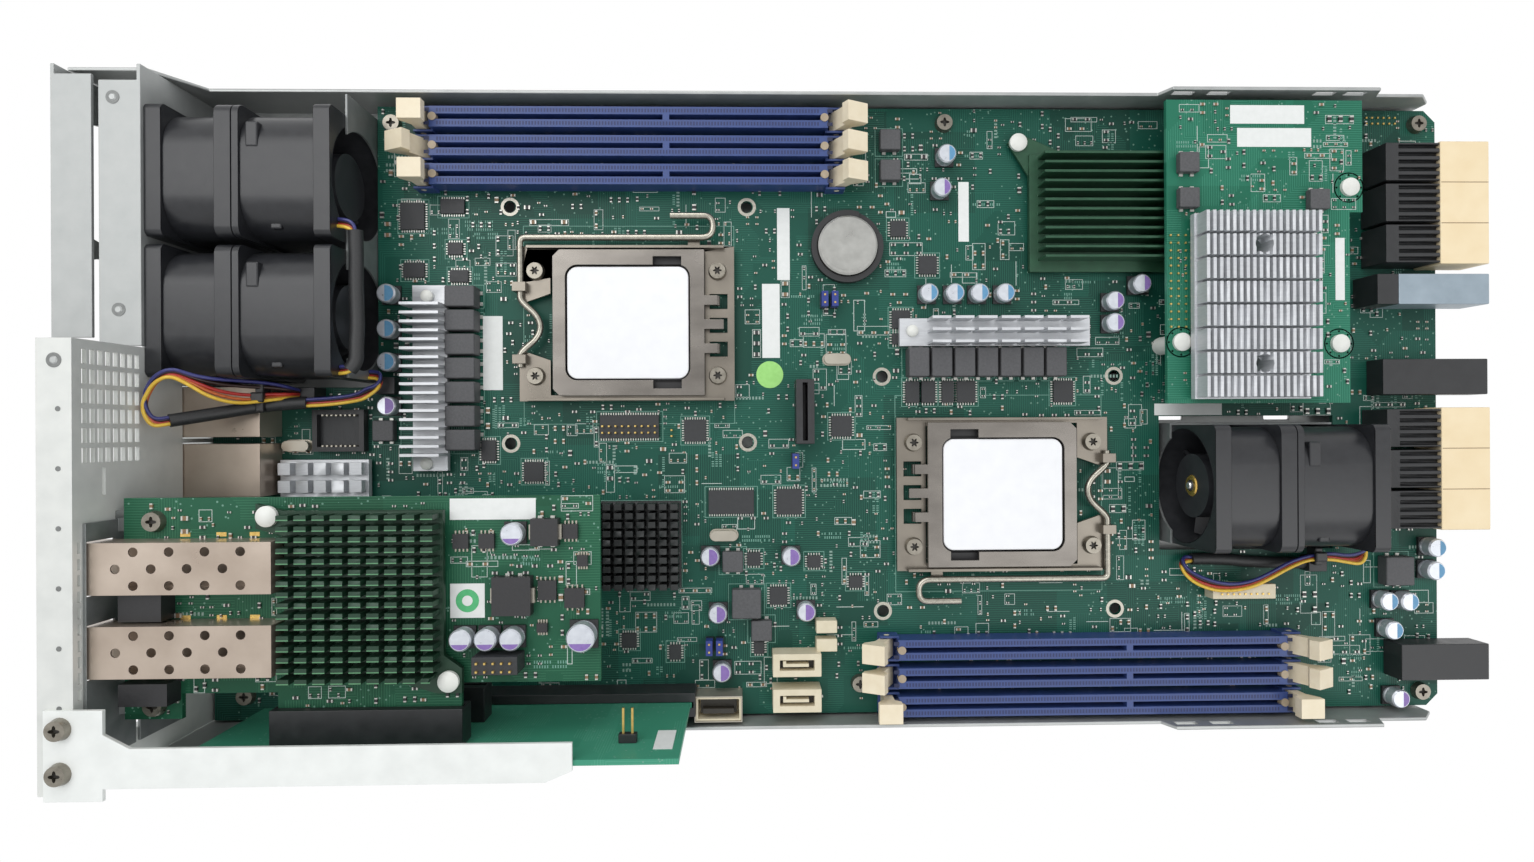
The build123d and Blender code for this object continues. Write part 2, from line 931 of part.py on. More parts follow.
def fan_rotor(left, y, side, blades):
    middle = left + fan_length / 2
    z = fan_axis_z()
    inner = stator_length / 2 + hub_gap
    hub = rod_x(0, 0, hub_radius, inner, inner + hub_length)
    blade_x = inner + hub_length / 2
    span = blade_reach - hub_radius / 2
    blade = Box(blade_thickness, blade_chord, span, align=(Align.CENTER, Align.CENTER, Align.MIN))
    for step in range(blades):
        turn = step * 360 / blades
        pitched = Pos(0, 0, hub_radius / 2) * Rot(0, 0, side * blade_pitch) * blade
        hub += Pos(blade_x, 0, 0) * Rot(turn, 0, 0) * pitched
    hub &= rod_x(0, 0, blade_reach, inner, inner + hub_length)
    facing = Rot(0, 0, 0) if side > 0 else Rot(0, 0, 180)
    return Pos(middle, y, z) * facing * hub


# Main board and what holds it
def screw_places():
    return [(board_x(a), board_y(b)) for a, b in board_screw_shares]


def bolt_places(centre):
    half = bolt_pitch / 2
    return [(centre[0] + a, centre[1] + b) for a in (-half, half) for b in (-half, half)]


def main_board():
    half = board_width / 2
    outline = [
        (board_left, -half),
        (board_right - board_corner, -half),
        (board_right, -half + board_corner),
        (board_right, half - board_corner),
        (board_right - board_corner, half),
        (board_step_x, half),
        (board_step_x, board_step_y),
        (board_left, board_step_y),
    ]
    low = board_top - board_thickness
    board = flat_shape(outline, low, board_top)
    cuts = [block(cutout_left, cutout_right, cutout_low, cutout_high, low, board_top)]
    cuts += [post(x, y, board_hole_radius, low, board_top) for x, y in screw_places()]
    for centre in (socket_a, socket_b):
        cuts += [post(x, y, bolt_radius, low, board_top) for x, y in bolt_places(centre)]
    return board - cuts


def screw(x, y, head_radius, head_height, seat, shank):
    return post(x, y, head_radius, seat, seat + head_height) + post(x, y, shank_radius, seat - shank, seat)


def fasteners():
    screws = [screw(x, y, screw_radius, screw_head, board_top, board_thickness) for x, y in screw_places()]
    screws += [post(x, y, standoff_radius, sheet, board_top - board_thickness) for x, y in screw_places()]
    bar_top = panel_height + sheet
    screws += [screw(tab_screw_x, y, screw_radius, screw_head, bar_top, sheet) for y in tab_screw_ys]
    for y in bracket_ear_ys:
        screws.append(post(network_screw_x, y, screw_radius, network_top, network_top + screw_head))
    seat = frame_bottom + frame_thickness
    for centre in (socket_a, socket_b):
        for a in (-torx_x, torx_x):
            for b in (-torx_y, torx_y):
                screws.append(post(centre[0] + a, centre[1] + b, torx_radius, seat, seat + torx_head))
    return gather(screws)


# Memory sockets
def socket_centre(y):
    return upper_socket_x if y > 0 else lower_socket_x


def dimm_socket(y):
    x = socket_centre(y)
    top = board_top + socket_height
    body = slab(x, y, 2 * socket_half, socket_width, board_top, top)
    body -= slab(x, y, 2 * socket_half, socket_slot, top - socket_slot_depth, top)
    body += slab(x + key_offset, y, 2 * key_half, socket_width, board_top, top)
    for side in (-1, 1):
        near = x + side * (socket_half - cheek_wall)
        far = x + side * cheek_end
        x0 = min(near, far)
        x1 = max(near, far)
        body += block(x0, x1, y - cheek_gap / 2, y + cheek_gap / 2, board_top, board_top + cheek_floor)
        for face in (-1, 1):
            inner = y + face * cheek_gap / 2
            outer = y + face * (cheek_gap / 2 + cheek_wall)
            y0 = min(inner, outer)
            y1 = max(inner, outer)
            body += block(x0, x1, y0, y1, board_top, board_top + cheek_height)
        wing = x + side * socket_half
        w0 = min(near, wing)
        w1 = max(near, wing)
        reach = cheek_gap / 2 + cheek_wall
        body += block(w0, w1, y - reach, y - socket_width / 2, board_top, board_top + cheek_height)
        body += block(w0, w1, y + socket_width / 2, y + reach, board_top, board_top + cheek_height)
        pivot_x = x + side * pivot_offset
        pivot_z = board_top + pivot_height
        body -= rod_y(pivot_x, pivot_z, pin_radius + pin_clearance, y - reach, y + reach)
    return body


def dimm_sockets():
    return gather([dimm_socket(y) for y in socket_rows])


def dimm_latch(index):
    y = socket_rows[index // 2]
    side = -1 if index % 2 == 0 else 1
    outline = [
        (-latch_inner, -latch_foot),
        (latch_outer, -latch_foot),
        (latch_outer, latch_shoulder),
        (latch_thumb, latch_thumb_low),
        (latch_thumb, latch_top),
        (-latch_hook, latch_top),
        (-latch_hook, latch_hook_low),
        (-latch_inner, latch_neck),
    ]
    latch = upright_shape([(side * u, w) for u, w in outline], -latch_width / 2, latch_width / 2)
    pin_reach = cheek_gap / 2 + cheek_wall
    latch += rod_y(0, 0, pin_radius, -pin_reach, pin_reach)
    turn = latch_open_angle if index + 1 in open_latches else 0
    pivot = Pos(socket_centre(y) + side * pivot_offset, y, board_top + pivot_height)
    return pivot * Rot(0, side * turn, 0) * latch


# Processor sockets, drawn about their own centre and then turned into place
def frame_plate():
    top = frame_bottom + frame_thickness
    frame = slab(0, 0, frame_length, frame_width, frame_bottom, top)
    half = frame_window_half
    frame -= block(frame_window_left, frame_window_right, -half, half, frame_bottom, top)
    left = -frame_length / 2
    notch_right = frame_window_left
    slope = crank_notch_depth / 2
    notch = [
        (left, crank_notch_low),
        (left + slope, crank_notch_low),
        (notch_right, crank_notch_low - slope),
        (notch_right, crank_notch_high + slope),
        (left + slope, crank_notch_high),
        (left, crank_notch_high),
    ]
    frame -= flat_shape(notch, frame_bottom, top)
    for y in tongue_ys:
        x0 = tongue_slot_left
        x1 = tongue_slot_right
        frame -= block(x0, x1, y - tongue_slot_width / 2, y + tongue_slot_width / 2, frame_bottom, top)
    for side in (-1, 1):
        y0 = min(side * rail_inner, side * (rail_inner + rail_thickness))
        y1 = y0 + rail_thickness
        frame += block(rail_left, rail_right, y0, y1, frame_bottom, frame_bottom + rail_height)
        for x in (-torx_x, torx_x):
            frame += post(x, side * torx_y, frame_post_radius, board_top, frame_bottom)
    for y in lug_ys:
        left = lever_x - lug_reach
        lug = block(left, lever_x + lug_reach, y - lug_half, y + lug_half, frame_bottom, lug_top)
        lug -= rod_y(lever_x, lever_z, lever_radius + lever_clearance, y - lug_half, y + lug_half)
        frame += lug
    frame -= [
        rod_y(lever_x, lever_z, lever_radius + lever_clearance, y - lug_half, y + lug_half) for y in lug_ys
    ]
    frame += block(keeper_left, keeper_right, rail_inner, keeper_reach, frame_bottom, keeper_top)
    return frame


def socket_body():
    body = block(body_left, body_right, -body_half_y, body_half_y, board_top, board_top + body_height)
    floor = board_top + field_height
    return body - slab(opening_x, 0, field_length, field_width, floor, board_top + body_height)


def socket_cover():
    outline = RectangleRounded(cover_length, cover_width, opening_corner - opening_clearance)
    floor = board_top + field_height
    return Pos(opening_x, 0, floor) * extrude(outline, cover_height - field_height)


def load_plate():
    top = plate_bottom + plate_thickness
    seat = frame_bottom + frame_thickness
    bevel = plate_bevel
    outline = [
        (plate_left, -plate_half + bevel),
        (plate_left + bevel, -plate_half),
        (plate_right, -plate_half),
        (plate_right, plate_half),
        (plate_left + bevel, plate_half),
        (plate_left, plate_half - bevel),
    ]
    plate = flat_shape(outline, plate_bottom, top)
    for side in (-1, 1):
        y0 = min(side * plate_half, side * (plate_half - skirt_thickness))
        plate += block(plate_left + bevel, plate_right, y0, y0 + skirt_thickness, seat, plate_bottom)
    opening_length = cover_length + 2 * opening_clearance
    opening_width = cover_width + 2 * opening_clearance
    opening = RectangleRounded(opening_length, opening_width, opening_corner)
    plate -= Pos(opening_x, 0, plate_bottom) * extrude(opening, plate_thickness)
    reach = opening_notch_reach
    plate -= block(opening_notch_left, opening_notch_right, -reach, reach, plate_bottom, top)
    for y in tongue_ys:
        end = middle_tongue_reach if y == tongue_ys[1] else tongue_reach
        plate += block(plate_right, end, y - tongue_width / 2, y + tongue_width / 2, plate_bottom, top)
        plate += rod_y(hinge_x, hinge_z, curl_radius, y - tongue_width / 2, y + tongue_width / 2)
    return plate


def load_lever():
    z = lever_z
    route = Polyline(
        (lever_x, lever_end_y, z),
        (lever_x, crank_notch_low, z),
        (crank_x, crank_low, z),
        (crank_x, crank_high, z),
        (lever_x, crank_notch_high, z),
        (lever_x, arm_y, z),
        (arm_end, arm_y, z),
        (hook_x, hook_y, z),
        (arm_end, hook_top, z),
        (hook_end, hook_top, z),
    )
    start = Plane((lever_x, lever_end_y, z), z_dir=(0, 1, 0))
    return sweep(start * Circle(lever_radius), path=route, transition=Transition.RIGHT)


def at_socket(name, shape):
    if name == "a":
        return Pos(socket_a[0], socket_a[1], 0) * shape
    return Pos(socket_b[0], socket_b[1], 0) * Rot(0, 0, 180) * shape


def both_sockets(shape):
    return gather([at_socket("a", shape), at_socket("b", shape)])


# Heatsinks
def pin_fins(left, right, low, high, base, top, columns, rows, share_x, share_y):
    pitch_x = (right - left) / columns
    pitch_y = (high - low) / rows
    fins = []
    for column in range(columns):
        for row in range(rows):
            x = left + (column + 0.5) * pitch_x
            y = low + (row + 0.5) * pitch_y
            fins.append(slab(x, y, pitch_x * share_x, pitch_y * share_y, base, top))
    return fins


def left_regulator_sink():
    low = board_top + chip_height
    base = low + sink_base
    sink = slab(left_sink_x, (left_sink_low + left_sink_high) / 2, left_sink_width,
                left_sink_high - left_sink_low, low, base)
    fins = []
    for step in range(left_fin_count):
        y = left_fin_first + step * left_fin_pitch
        left = left_sink_x - left_fin_reach
        right = left_sink_x + left_sink_width / 2
        fins.append(block(left, right, y - fin_thickness / 2, y + fin_thickness / 2, base, sink_top))
    return sink + fins


def right_regulator_sink():
    low = board_top + chip_height
    base = low + sink_base
    sink = block(right_sink_left, right_sink_right, right_sink_low, right_sink_high, low, base)
    fins = []
    for row in range(right_fin_rows):
        y = right_fin_low + row * right_fin_step
        for column in range(right_fin_columns):
            x = right_fin_first + column * right_fin_pitch
            fins.append(block(x, x + right_fin_length, y, y + fin_thickness, base, sink_top))
    return sink + fins


def management_sink():
    half = management_side / 2
    low = board_top + chip_height
    base = low + sink_base
    left = management_x - half
    right = management_x + half
    bottom = management_y - half
    top = management_y + half
    sink = block(left, right, bottom, top, low, base)
    return sink + pin_fins(left, right, bottom, top, base, management_top, management_fins, management_fins,
                           pin_fin_share, pin_fin_share)


def board_heatsinks():
    return gather([left_regulator_sink(), right_regulator_sink(), management_sink()])


def chipset_heatsink():
    low = board_top + chip_height
    base = low + chipset_base
    sink = block(chipset_left, chipset_right, chipset_low, chipset_high, low, base)
    ear = [
        (chipset_ear_x - ear_width / 2, chipset_ear_y),
        (chipset_ear_x, chipset_ear_y + ear_width / 2),
        (chipset_left + 2 * ear_width, chipset_high),
        (chipset_left, chipset_high),
        (chipset_left, chipset_high - ear_width),
    ]
    sink += flat_shape(ear, low, low + ear_thickness)
    fins = []
    for step in range(chipset_fins):
        y = chipset_fin_low + step * chipset_fin_pitch
        fins.append(block(chipset_fin_left, chipset_right, y, y + fin_thickness, base, chipset_top))
    return sink + fins - post(chipset_ear_x, chipset_ear_y, shank_radius + slot_clearance, low, base)


def controller_heatsink():
    low = board_top + chip_height
    base = low + sink_base
    sink = block(controller_left, controller_right, controller_low, controller_high, low, base)
    return sink + pin_fins(controller_left, controller_right, controller_low, controller_high,
                           base, controller_top, controller_columns, controller_rows,
                           pin_fin_share, pin_fin_share)


# Soldered parts
def power_inductors():
    top = board_top + inductor_height
    shapes = []
    for step in range(inductor_count):
        y = left_inductor_first - step * left_inductor_pitch
        shapes.append(slab(left_inductor_x, y, left_inductor_length, left_inductor_width, board_top, top))
        x = right_inductor_first + step * right_inductor_pitch
        shapes.append(slab(x, right_inductor_y, left_inductor_width, left_inductor_length, board_top, top))
    for a, b in small_inductor_shares:
        side = small_inductor_side
        top = board_top + small_inductor_height
        shapes.append(slab(board_x(a), board_y(b), side, side, board_top, top))
    for a, b in big_inductor_shares:
        side = big_inductor_side
        top = board_top + big_inductor_height
        shapes.append(slab(board_x(a), board_y(b), side, side, board_top, top))
    for a, b in storage_choke_shares:
        side = storage_choke_side
        top = storage_top + storage_choke_height
        shapes.append(slab(board_x(a), board_y(b), side, side, storage_top, top))
    for shares, side in zip(network_choke_shares, network_choke_sides):
        x, y = network_place(shares)
        shapes.append(slab(x, y, side, side, network_top, network_top + small_inductor_height))
    return gather(shapes)


def capacitor(x, y, radius, seat, height):
    foot = slab(x, y, 2 * radius, 2 * radius, seat, seat + capacitor_foot)
    return foot + post(x, y, radius, seat + capacitor_foot, seat + height)


def capacitors():
    radius = capacitor_radius
    cans = []
    for a, b in capacitor_shares:
        cans.append(capacitor(board_x(a), board_y(b), radius, board_top, capacitor_height))
    for shares in network_capacitor_shares:
        x, y = network_place(shares)
        cans.append(capacitor(x, y, radius, network_top, capacitor_height))
    x, y = network_place(network_big_capacitor_shares)
    cans.append(capacitor(x, y, network_big_radius, network_top, network_big_height))
    return gather(cans)


def chip_packages():
    top = board_top + chip_height
    shapes = []
    for a, b, length, width in chip_shares:
        shapes.append(slab(board_x(a), board_y(b), board_y(length), board_y(width), board_top, top))
    inset = ear_width
    shapes.append(slab(left_sink_x, (left_sink_low + left_sink_high) / 2, left_sink_width - sink_base,
                       left_sink_high - left_sink_low - 2 * inset, board_top, top))
    shapes.append(block(right_sink_left + inset, right_sink_right - inset, right_sink_low + sheet,
                        right_sink_high - sheet, board_top, top))
    side = management_side - inset
    shapes.append(slab(management_x, management_y, side, side, board_top, top))
    shapes.append(block(chipset_left + inset, chipset_right - inset, chipset_low + inset,
                        chipset_high - inset, board_top, top))
    shapes.append(block(controller_left + sheet, controller_right - sheet, controller_low + sheet,
                        controller_high - sheet, board_top, top))
    shapes.append(block(storage_sink_left + inset, storage_sink_right - inset,
                        storage_sink_low + 3 * inset, storage_sink_high - 3 * inset,
                        storage_top, storage_top + storage_chip))
    shapes.append(block(network_sink_left + inset, network_sink_right - inset, network_sink_low + inset,
                        network_sink_high - inset, network_top, network_top + network_chip))
    x, y = network_place(network_header_shares)
    shapes.append(slab(x, y, network_header_length, network_header_width, network_top,
                       network_top + network_header_height))
    return gather(shapes)


def battery_holder():
    base = post(cell_x, cell_y, holder_radius, board_top, board_top + holder_wall)
    floor = board_top + holder_floor
    top = board_top + holder_wall
    base -= post(cell_x, cell_y, cell_radius + holder_gap, floor, top)
    side = 2 * holder_radius - holder_open
    return base - slab(cell_x + holder_radius, cell_y + holder_radius, side, side, floor, top)


def coin_cell():
    seat = board_top + holder_floor
    return post(cell_x, cell_y, cell_radius, seat, seat + cell_height)


# Storage card
def storage_card_board():
    outline = [
        (storage_left, storage_low),
        (storage_step_x, storage_low),
        (storage_step_x, storage_step_y),
        (storage_right, storage_step_y),
        (storage_right, storage_high),
        (storage_left, storage_high),
    ]
    low = storage_top - board_thickness
    card = flat_shape(outline, low, storage_top)
    hole = shank_radius + slot_clearance
    return card - [post(x, y, hole, low, storage_top) for x, y in storage_post_places]


def storage_card_heatsink():
    low = storage_top + storage_chip
    base = low + sink_base
    sink = block(storage_sink_left, storage_sink_right, storage_sink_low, storage_sink_high, low, base)
    sink += pin_fins(storage_sink_left, storage_sink_right, storage_sink_low, storage_sink_high,
                     base, storage_sink_top, storage_fins, storage_segments,
                     storage_fin_share, 1 - storage_gap_share)
    x = (storage_sink_left + storage_sink_right) / 2
    return sink - [post(x, y, storage_hole_radius, low, storage_sink_top) for y in storage_hole_ys]


def nylon_fasteners():
    shapes = []
    low = storage_top - board_thickness
    for x, y in storage_post_places:
        shapes.append(post(x, y, nylon_radius, board_top, low))
        head = post(x, y, nylon_head_radius, storage_top, storage_top + nylon_head)
        shapes.append(head + post(x, y, shank_radius, low, storage_top))
    seat = board_top + chip_height + ear_thickness
    head = post(chipset_ear_x, chipset_ear_y, nylon_head_radius, seat, seat + nylon_head)
    shapes.append(head + post(chipset_ear_x, chipset_ear_y, shank_radius, board_top, seat))
    low = board_top + chip_height + sink_base
    shapes += [post(x, y, sink_pin_radius, low, low + nylon_head) for x, y in sink_pin_places]
    low = network_top + network_chip + network_sink_base
    for x, y in network_ear_places():
        head = post(x, y, nylon_head_radius, low, low + nylon_head)
        shapes.append(head + post(x, y, shank_radius, network_top, low))
    return gather(shapes)


# Network card
def network_card_board():
    outline = [
        (network_left, foot_low),
        (foot_left, foot_low),
        (foot_left, foot_notch),
        (finger_left, foot_notch),
        (finger_left, finger_low),
        (finger_right, finger_low),
        (finger_right, network_low),
        (network_right, network_low),
        (network_right, network_high),
        (network_left, network_high),
    ]
    return flat_shape(outline, network_top - board_thickness, network_top)


def network_card_heatsink():
    low = network_top + network_chip
    base = low + network_sink_base
    sink = block(network_sink_left, network_sink_right, network_sink_low, network_sink_high, low, base)
    left_ear, right_ear = network_ear_places()
    width = ear_width / 2
    high = network_sink_high
    bottom = network_sink_low
    sink += flat_shape(
        [
            (left_ear[0] - width, left_ear[1] + width),
            (network_sink_left, high),
            (network_sink_left, high - ear_width),
            (left_ear[0] - width, left_ear[1] - width),
        ],
        low, base)
    sink += flat_shape(
        [
            (network_sink_right - 2 * ear_width, bottom),
            (right_ear[0] - width, right_ear[1] - width),
            (right_ear[0] + width, right_ear[1] - width),
            (right_ear[0] + width, right_ear[1] + width),
            (network_sink_right, bottom + ear_width),
            (network_sink_right, bottom),
        ],
        low, base)
    sink += pin_fins(network_sink_left, network_sink_right, bottom, high, base, network_sink_top,
                     network_columns, network_rows, pin_fin_share, storage_fin_share)
    hole = shank_radius + slot_clearance
    cuts = [post(x, y, hole, low, base) for x, y in network_ear_places()]
    recess = nylon_head_radius + port_clearance
    cuts += [post(x, y, recess, base, network_sink_top) for x, y in network_ear_places()]
    return sink - cuts


def sfp_cage(y):
    right = cage_left + cage_length
    top = network_top + cage_height
    half = cage_width / 2
    cage = block(cage_left, right, y - half, y + half, network_top, top)
    inner = half - cage_wall
    floor = network_top + cage_wall
    cage -= block(cage_left, right - cage_wall, y - inner, y + inner, floor, top - cage_wall)
    vents = []
    for column in range(cage_vent_columns):
        x = cage_left + cage_vent_first + column * cage_vent_pitch
        for offset in (-cage_vent_offset, cage_vent_offset):
            vents.append(post(x, y + offset, cage_vent_radius, top - cage_wall, top))
        vents.append(post(x - cage_vent_pitch / 2, y, cage_vent_radius, top - cage_wall, top))
    return cage - vents


def sfp_cages():
    return gather([sfp_cage(y) for y in cage_centre_ys])


def card_bracket():
    x0 = panel_face
    x1 = panel_face + slot_bracket_thickness
    low = slot_bracket_low
    high = slot_bracket_high
    plate = block(x0, x1, low, high, slot_bracket_bottom, slot_bracket_top)
    for y in cage_centre_ys:
        half = cage_width / 2 + port_clearance
        top = network_top + cage_height + port_clearance
        plate -= block(x0, x1, y - half, y + half, network_top - port_clearance, top)
    ear_top = network_top - board_thickness
    ear_low = ear_top - slot_bracket_thickness
    for y in bracket_ear_ys:
        half = bracket_ear_width / 2
        plate += block(x0, bracket_ear_end, y - half, y + half, ear_low, ear_top)
    return plate


def filler_bracket():
    x0 = panel_face
    x1 = panel_face + slot_bracket_thickness
    return block(x0, x1, slot_bracket_low, slot_bracket_high, filler_bottom, filler_top)


def sheet_brackets():
    return gather([left_fan_bracket(), fan_3_bracket(), card_bracket(), filler_bracket()])


# Riser and slots
def riser_board():
    outline = [
        (main_slot_left + sheet, riser_bottom),
        (main_slot_right - sheet, riser_bottom),
        (main_slot_right - sheet, board_top + slot_height + slot_clearance),
        (riser_right, board_top + slot_height + slot_clearance),
        (riser_right, panel_height),
        (riser_left, panel_height),
        (riser_left, board_top + slot_height + slot_clearance),
        (main_slot_left + sheet, board_top + slot_height + slot_clearance),
    ]
    return upright_shape(outline, riser_face - board_thickness, riser_face)


def riser_slot(z):
    half = slot_width / 2
    body = block(slot_left, slot_right, riser_face, slot_mouth, z - half, z + half)
    groove = board_thickness / 2 + slot_clearance
    inner = slot_mouth - slot_depth
    end = sheet / 2
    return body - block(slot_left + end, slot_right - end, inner, slot_mouth, z - groove, z + groove)


def main_slot():
    centre = riser_face - board_thickness / 2
    top = board_top + slot_height
    half = slot_width / 2
    body = block(main_slot_left, main_slot_right, centre - half, centre + half, board_top, top)
    groove = board_thickness / 2 + slot_clearance
    end = sheet / 2
    return body - block(main_slot_left + end, main_slot_right - end, centre - groove, centre + groove,
                        riser_bottom, top)


def centre_slot():
    top = board_top + centre_slot_height
    body = block(centre_slot_left, centre_slot_right, centre_slot_low, centre_slot_high, board_top, top)
    middle = (centre_slot_left + centre_slot_right) / 2
    groove = board_thickness / 2
    return body - block(middle - groove, middle + groove, centre_slot_low + sheet, centre_slot_high - sheet,
                        board_top + sheet, top)


def riser_header():
    half = riser_header_length / 2
    reach = riser_header_reach
    return block(riser_header_x - half, riser_header_x + half, riser_face, riser_face + reach,
                 riser_header_z - reach / 2, riser_header_z + reach / 2)


def card_slots():
    network_slot = riser_slot(network_top - board_thickness / 2)
    return gather([main_slot(), network_slot, riser_slot(lower_slot_z), centre_slot(), riser_header()])


# Plug end
def receptacle_ys():
    rows = range(receptacle_rows)
    return [board_y(first) - row * receptacle_pitch for first in receptacle_first_shares for row in rows]


def receptacle(y):
    half = receptacle_width / 2
    top = board_top + receptacle_height
    body = block(receptacle_left, receptacle_right, y - half, y + half, board_top, top)
    pitch = receptacle_width / rib_count
    reach = pitch * rib_share / 2
    floor = top - rib_depth
    cuts = []
    for step in range(rib_count):
        groove_y = y - half + (step + 0.5) * pitch
        cuts.append(block(rib_start, receptacle_right, groove_y - reach, groove_y + reach, floor, top))
    return body - cuts


def guide_span(left, right):
    half = guide_width / 2
    y = board_y(guide_share)
    return block(left, right, y - half, y + half, board_top, board_top + guide_height)


def backplane_connectors():
    shapes = [receptacle(y) for y in receptacle_ys()]
    shapes.append(guide_span(guide_base_left, guide_left))
    half = key_width / 2
    y = board_y(key_share)
    shapes.append(block(key_left, key_right, y - half, y + half, board_top, board_top + key_height))
    half = plug_width / 2
    y = board_y(plug_share)
    plug = block(plug_left, plug_right, y - half, y + half, board_top, board_top + plug_height)
    bore_start = plug_right - plug_bore_depth
    shapes.append(plug - rod_x(y, board_top + plug_height / 2, plug_bore_radius, bore_start, plug_right))
    return gather(shapes)


def connector_wafers():
    half = receptacle_pitch / 2
    top = board_top + receptacle_height
    shapes = []
    for share in receptacle_first_shares:
        first = board_y(share)
        last = first - (receptacle_rows - 1) * receptacle_pitch
        shapes.append(block(receptacle_right, wafer_right, last - half, first + half, board_top, top))
    return gather(shapes)


def guide_bar():
    return guide_span(guide_left, guide_right)


# Ports
def lan_port(low, high):
    top = board_top + lan_height
    shell = block(lan_left, lan_right, low, high, board_top, top)
    middle = (low + high) / 2
    half = lan_mouth_width / 2
    z = board_top + lan_mouth_low
    depth = lan_left + lan_mouth_depth
    return shell - block(lan_left, depth, middle - half, middle + half, z, z + lan_mouth_height)


def lan_ports():
    return gather([lan_port(low, high) for low, high in lan_spans])


def sata_port(y):
    x = (sata_left + sata_right) / 2
    top = board_top + sata_height
    body = slab(x, y, sata_right - sata_left, sata_width, board_top, top)
    return body - slab(x, y, sata_mouth_length, sata_mouth_width, top - sata_mouth_depth, top)


def usb_port():
    top = board_top + sata_height
    body = slab(usb_x, usb_y, usb_length, usb_width, board_top, top)
    length = usb_length - 2 * usb_wall
    return body - slab(usb_x, usb_y, length, usb_width - 2 * usb_wall, board_top + 2 * usb_wall, top)


def white_connectors():
    shapes = [sata_port(y) for y in sata_ys]
    shapes.append(usb_port())
    top = board_top + fan_header_height
    shapes.append(slab(fan_header_x, fan_header_y, fan_header_length, fan_header_width, board_top, top))
    for x, y in small_header_places:
        shapes.append(slab(x, y, small_header_length, small_header_width, board_top, top))
    return gather(shapes)


# Cables
def cord_tube(name, route, radius):
    points = [Vector(*place) for place in route]
    bends = []
    for before, corner, after in zip(points, points[1:], points[2:]):
        first = corner - before
        second = after - corner
        half_turn = radians(first.get_angle(second)) / 2
        bends.append(bend_share * min(first.length, second.length) / tan(half_turn))
    path = FilletPolyline(*points, radius=bends)
    section = Plane(points[0], z_dir=points[1] - points[0]) * Circle(radius)
    tube = sweep(section, path=path)
    whole = pi * radius * radius * path.length
    print(name, "length", round(path.length), "volume share", round(tube.volume / whole, 3))
    print(name, "bend radii", [round(bend, 1) for bend in bends])
    return tube


def fan_cable_front():
    tubes = [cord_tube("front sleeve", front_sleeve_route, sleeve_radius)]
    tubes.append(cord_tube("front wires", front_wire_route, bundle_radius))
    tubes.append(cord_tube("fan 2 wires", fan_2_wire_route, bundle_radius))
    tubes.append(cord_tube("fan 1 sleeve", fan_1_sleeve_route, sleeve_radius))
    return gather(tubes)


def fan_cable_rear():
    tubes = [cord_tube("rear sleeve", rear_sleeve_route, sleeve_radius)]
    tubes.append(cord_tube("rear wires", rear_wire_route, bundle_radius))
    return gather(tubes)


def cable_plugs():
    front, middle, rear = plug_sizes
    end_x, end_y, _ = front_wire_route[-1]
    turn_x, turn_y, _ = fan_2_wire_route[5]
    sleeve_x, sleeve_y, _ = rear_sleeve_route[-1]
    places = ((end_x, end_y), (turn_x, turn_y), (sleeve_x + rear[0] / 2, sleeve_y))
    plugs = []
    for place, size in zip(places, (front, middle, rear)):
        plugs.append(slab(place[0], place[1], size[0], size[1], board_top, board_top + size[2]))
    return gather(plugs)


def build_all():
    save("tray_pan", tray_pan())
    save("fan_exhaust_panel", fan_exhaust_panel())
    save("io_panel", io_panel())
    save("card_retaining_bar", card_retaining_bar())
    save("main_board", main_board())
    save("fasteners", fasteners())
    save("dimm_sockets", dimm_sockets())
    for index in range(2 * len(socket_rows)):
        save("dimm_latch_" + str(index + 1).zfill(2), dimm_latch(index))
    fans = [(panel_face, fan_centre_ys[0]), (panel_face, fan_centre_ys[1]), (fan_3_left, fan_3_y)]
    for number, place in enumerate(fans, start=1):
        left, y = place
        name = "fan_" + str(number)
        save(name + "_housing", fan_housing(left, y))
        save(name + "_rotor_a", fan_rotor(left, y, -1, front_blades))
        save(name + "_rotor_b", fan_rotor(left, y, 1, rear_blades))
    save("cpu_socket_bodies", both_sockets(socket_body()))
    save("socket_covers", both_sockets(socket_cover()))
    save("ilm_frames", both_sockets(frame_plate()))
    for name in ("a", "b"):
        save("load_plate_" + name, at_socket(name, load_plate()))
        save("load_lever_" + name, at_socket(name, load_lever()))
    save("board_heatsinks", board_heatsinks())
    save("chipset_heatsink", chipset_heatsink())
    save("controller_heatsink", controller_heatsink())
    save("power_inductors", power_inductors())
    save("capacitors", capacitors())
    save("chip_packages", chip_packages())
    save("battery_holder", battery_holder())
    save("coin_cell", coin_cell())
    save("storage_card_board", storage_card_board())
    save("storage_card_heatsink", storage_card_heatsink())
    save("nylon_fasteners", nylon_fasteners())
    save("network_card_board", network_card_board())
    save("network_card_heatsink", network_card_heatsink())
    save("sfp_cages", sfp_cages())
    save("sheet_brackets", sheet_brackets())
    save("riser_board", riser_board())
    save("card_slots", card_slots())
    save("backplane_connectors", backplane_connectors())
    save("connector_wafers", connector_wafers())
    save("guide_bar", guide_bar())
    save("lan_ports", lan_ports())
    save("white_connectors", white_connectors())
    save("fan_cable_front", fan_cable_front())
    save("fan_cable_rear", fan_cable_rear())
    save("cable_plugs", cable_plugs())


build_all()
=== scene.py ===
import bpy
import bmesh
import json
import math
import random
from mathutils import Matrix, Vector
from mathutils.bvhtree import BVHTree

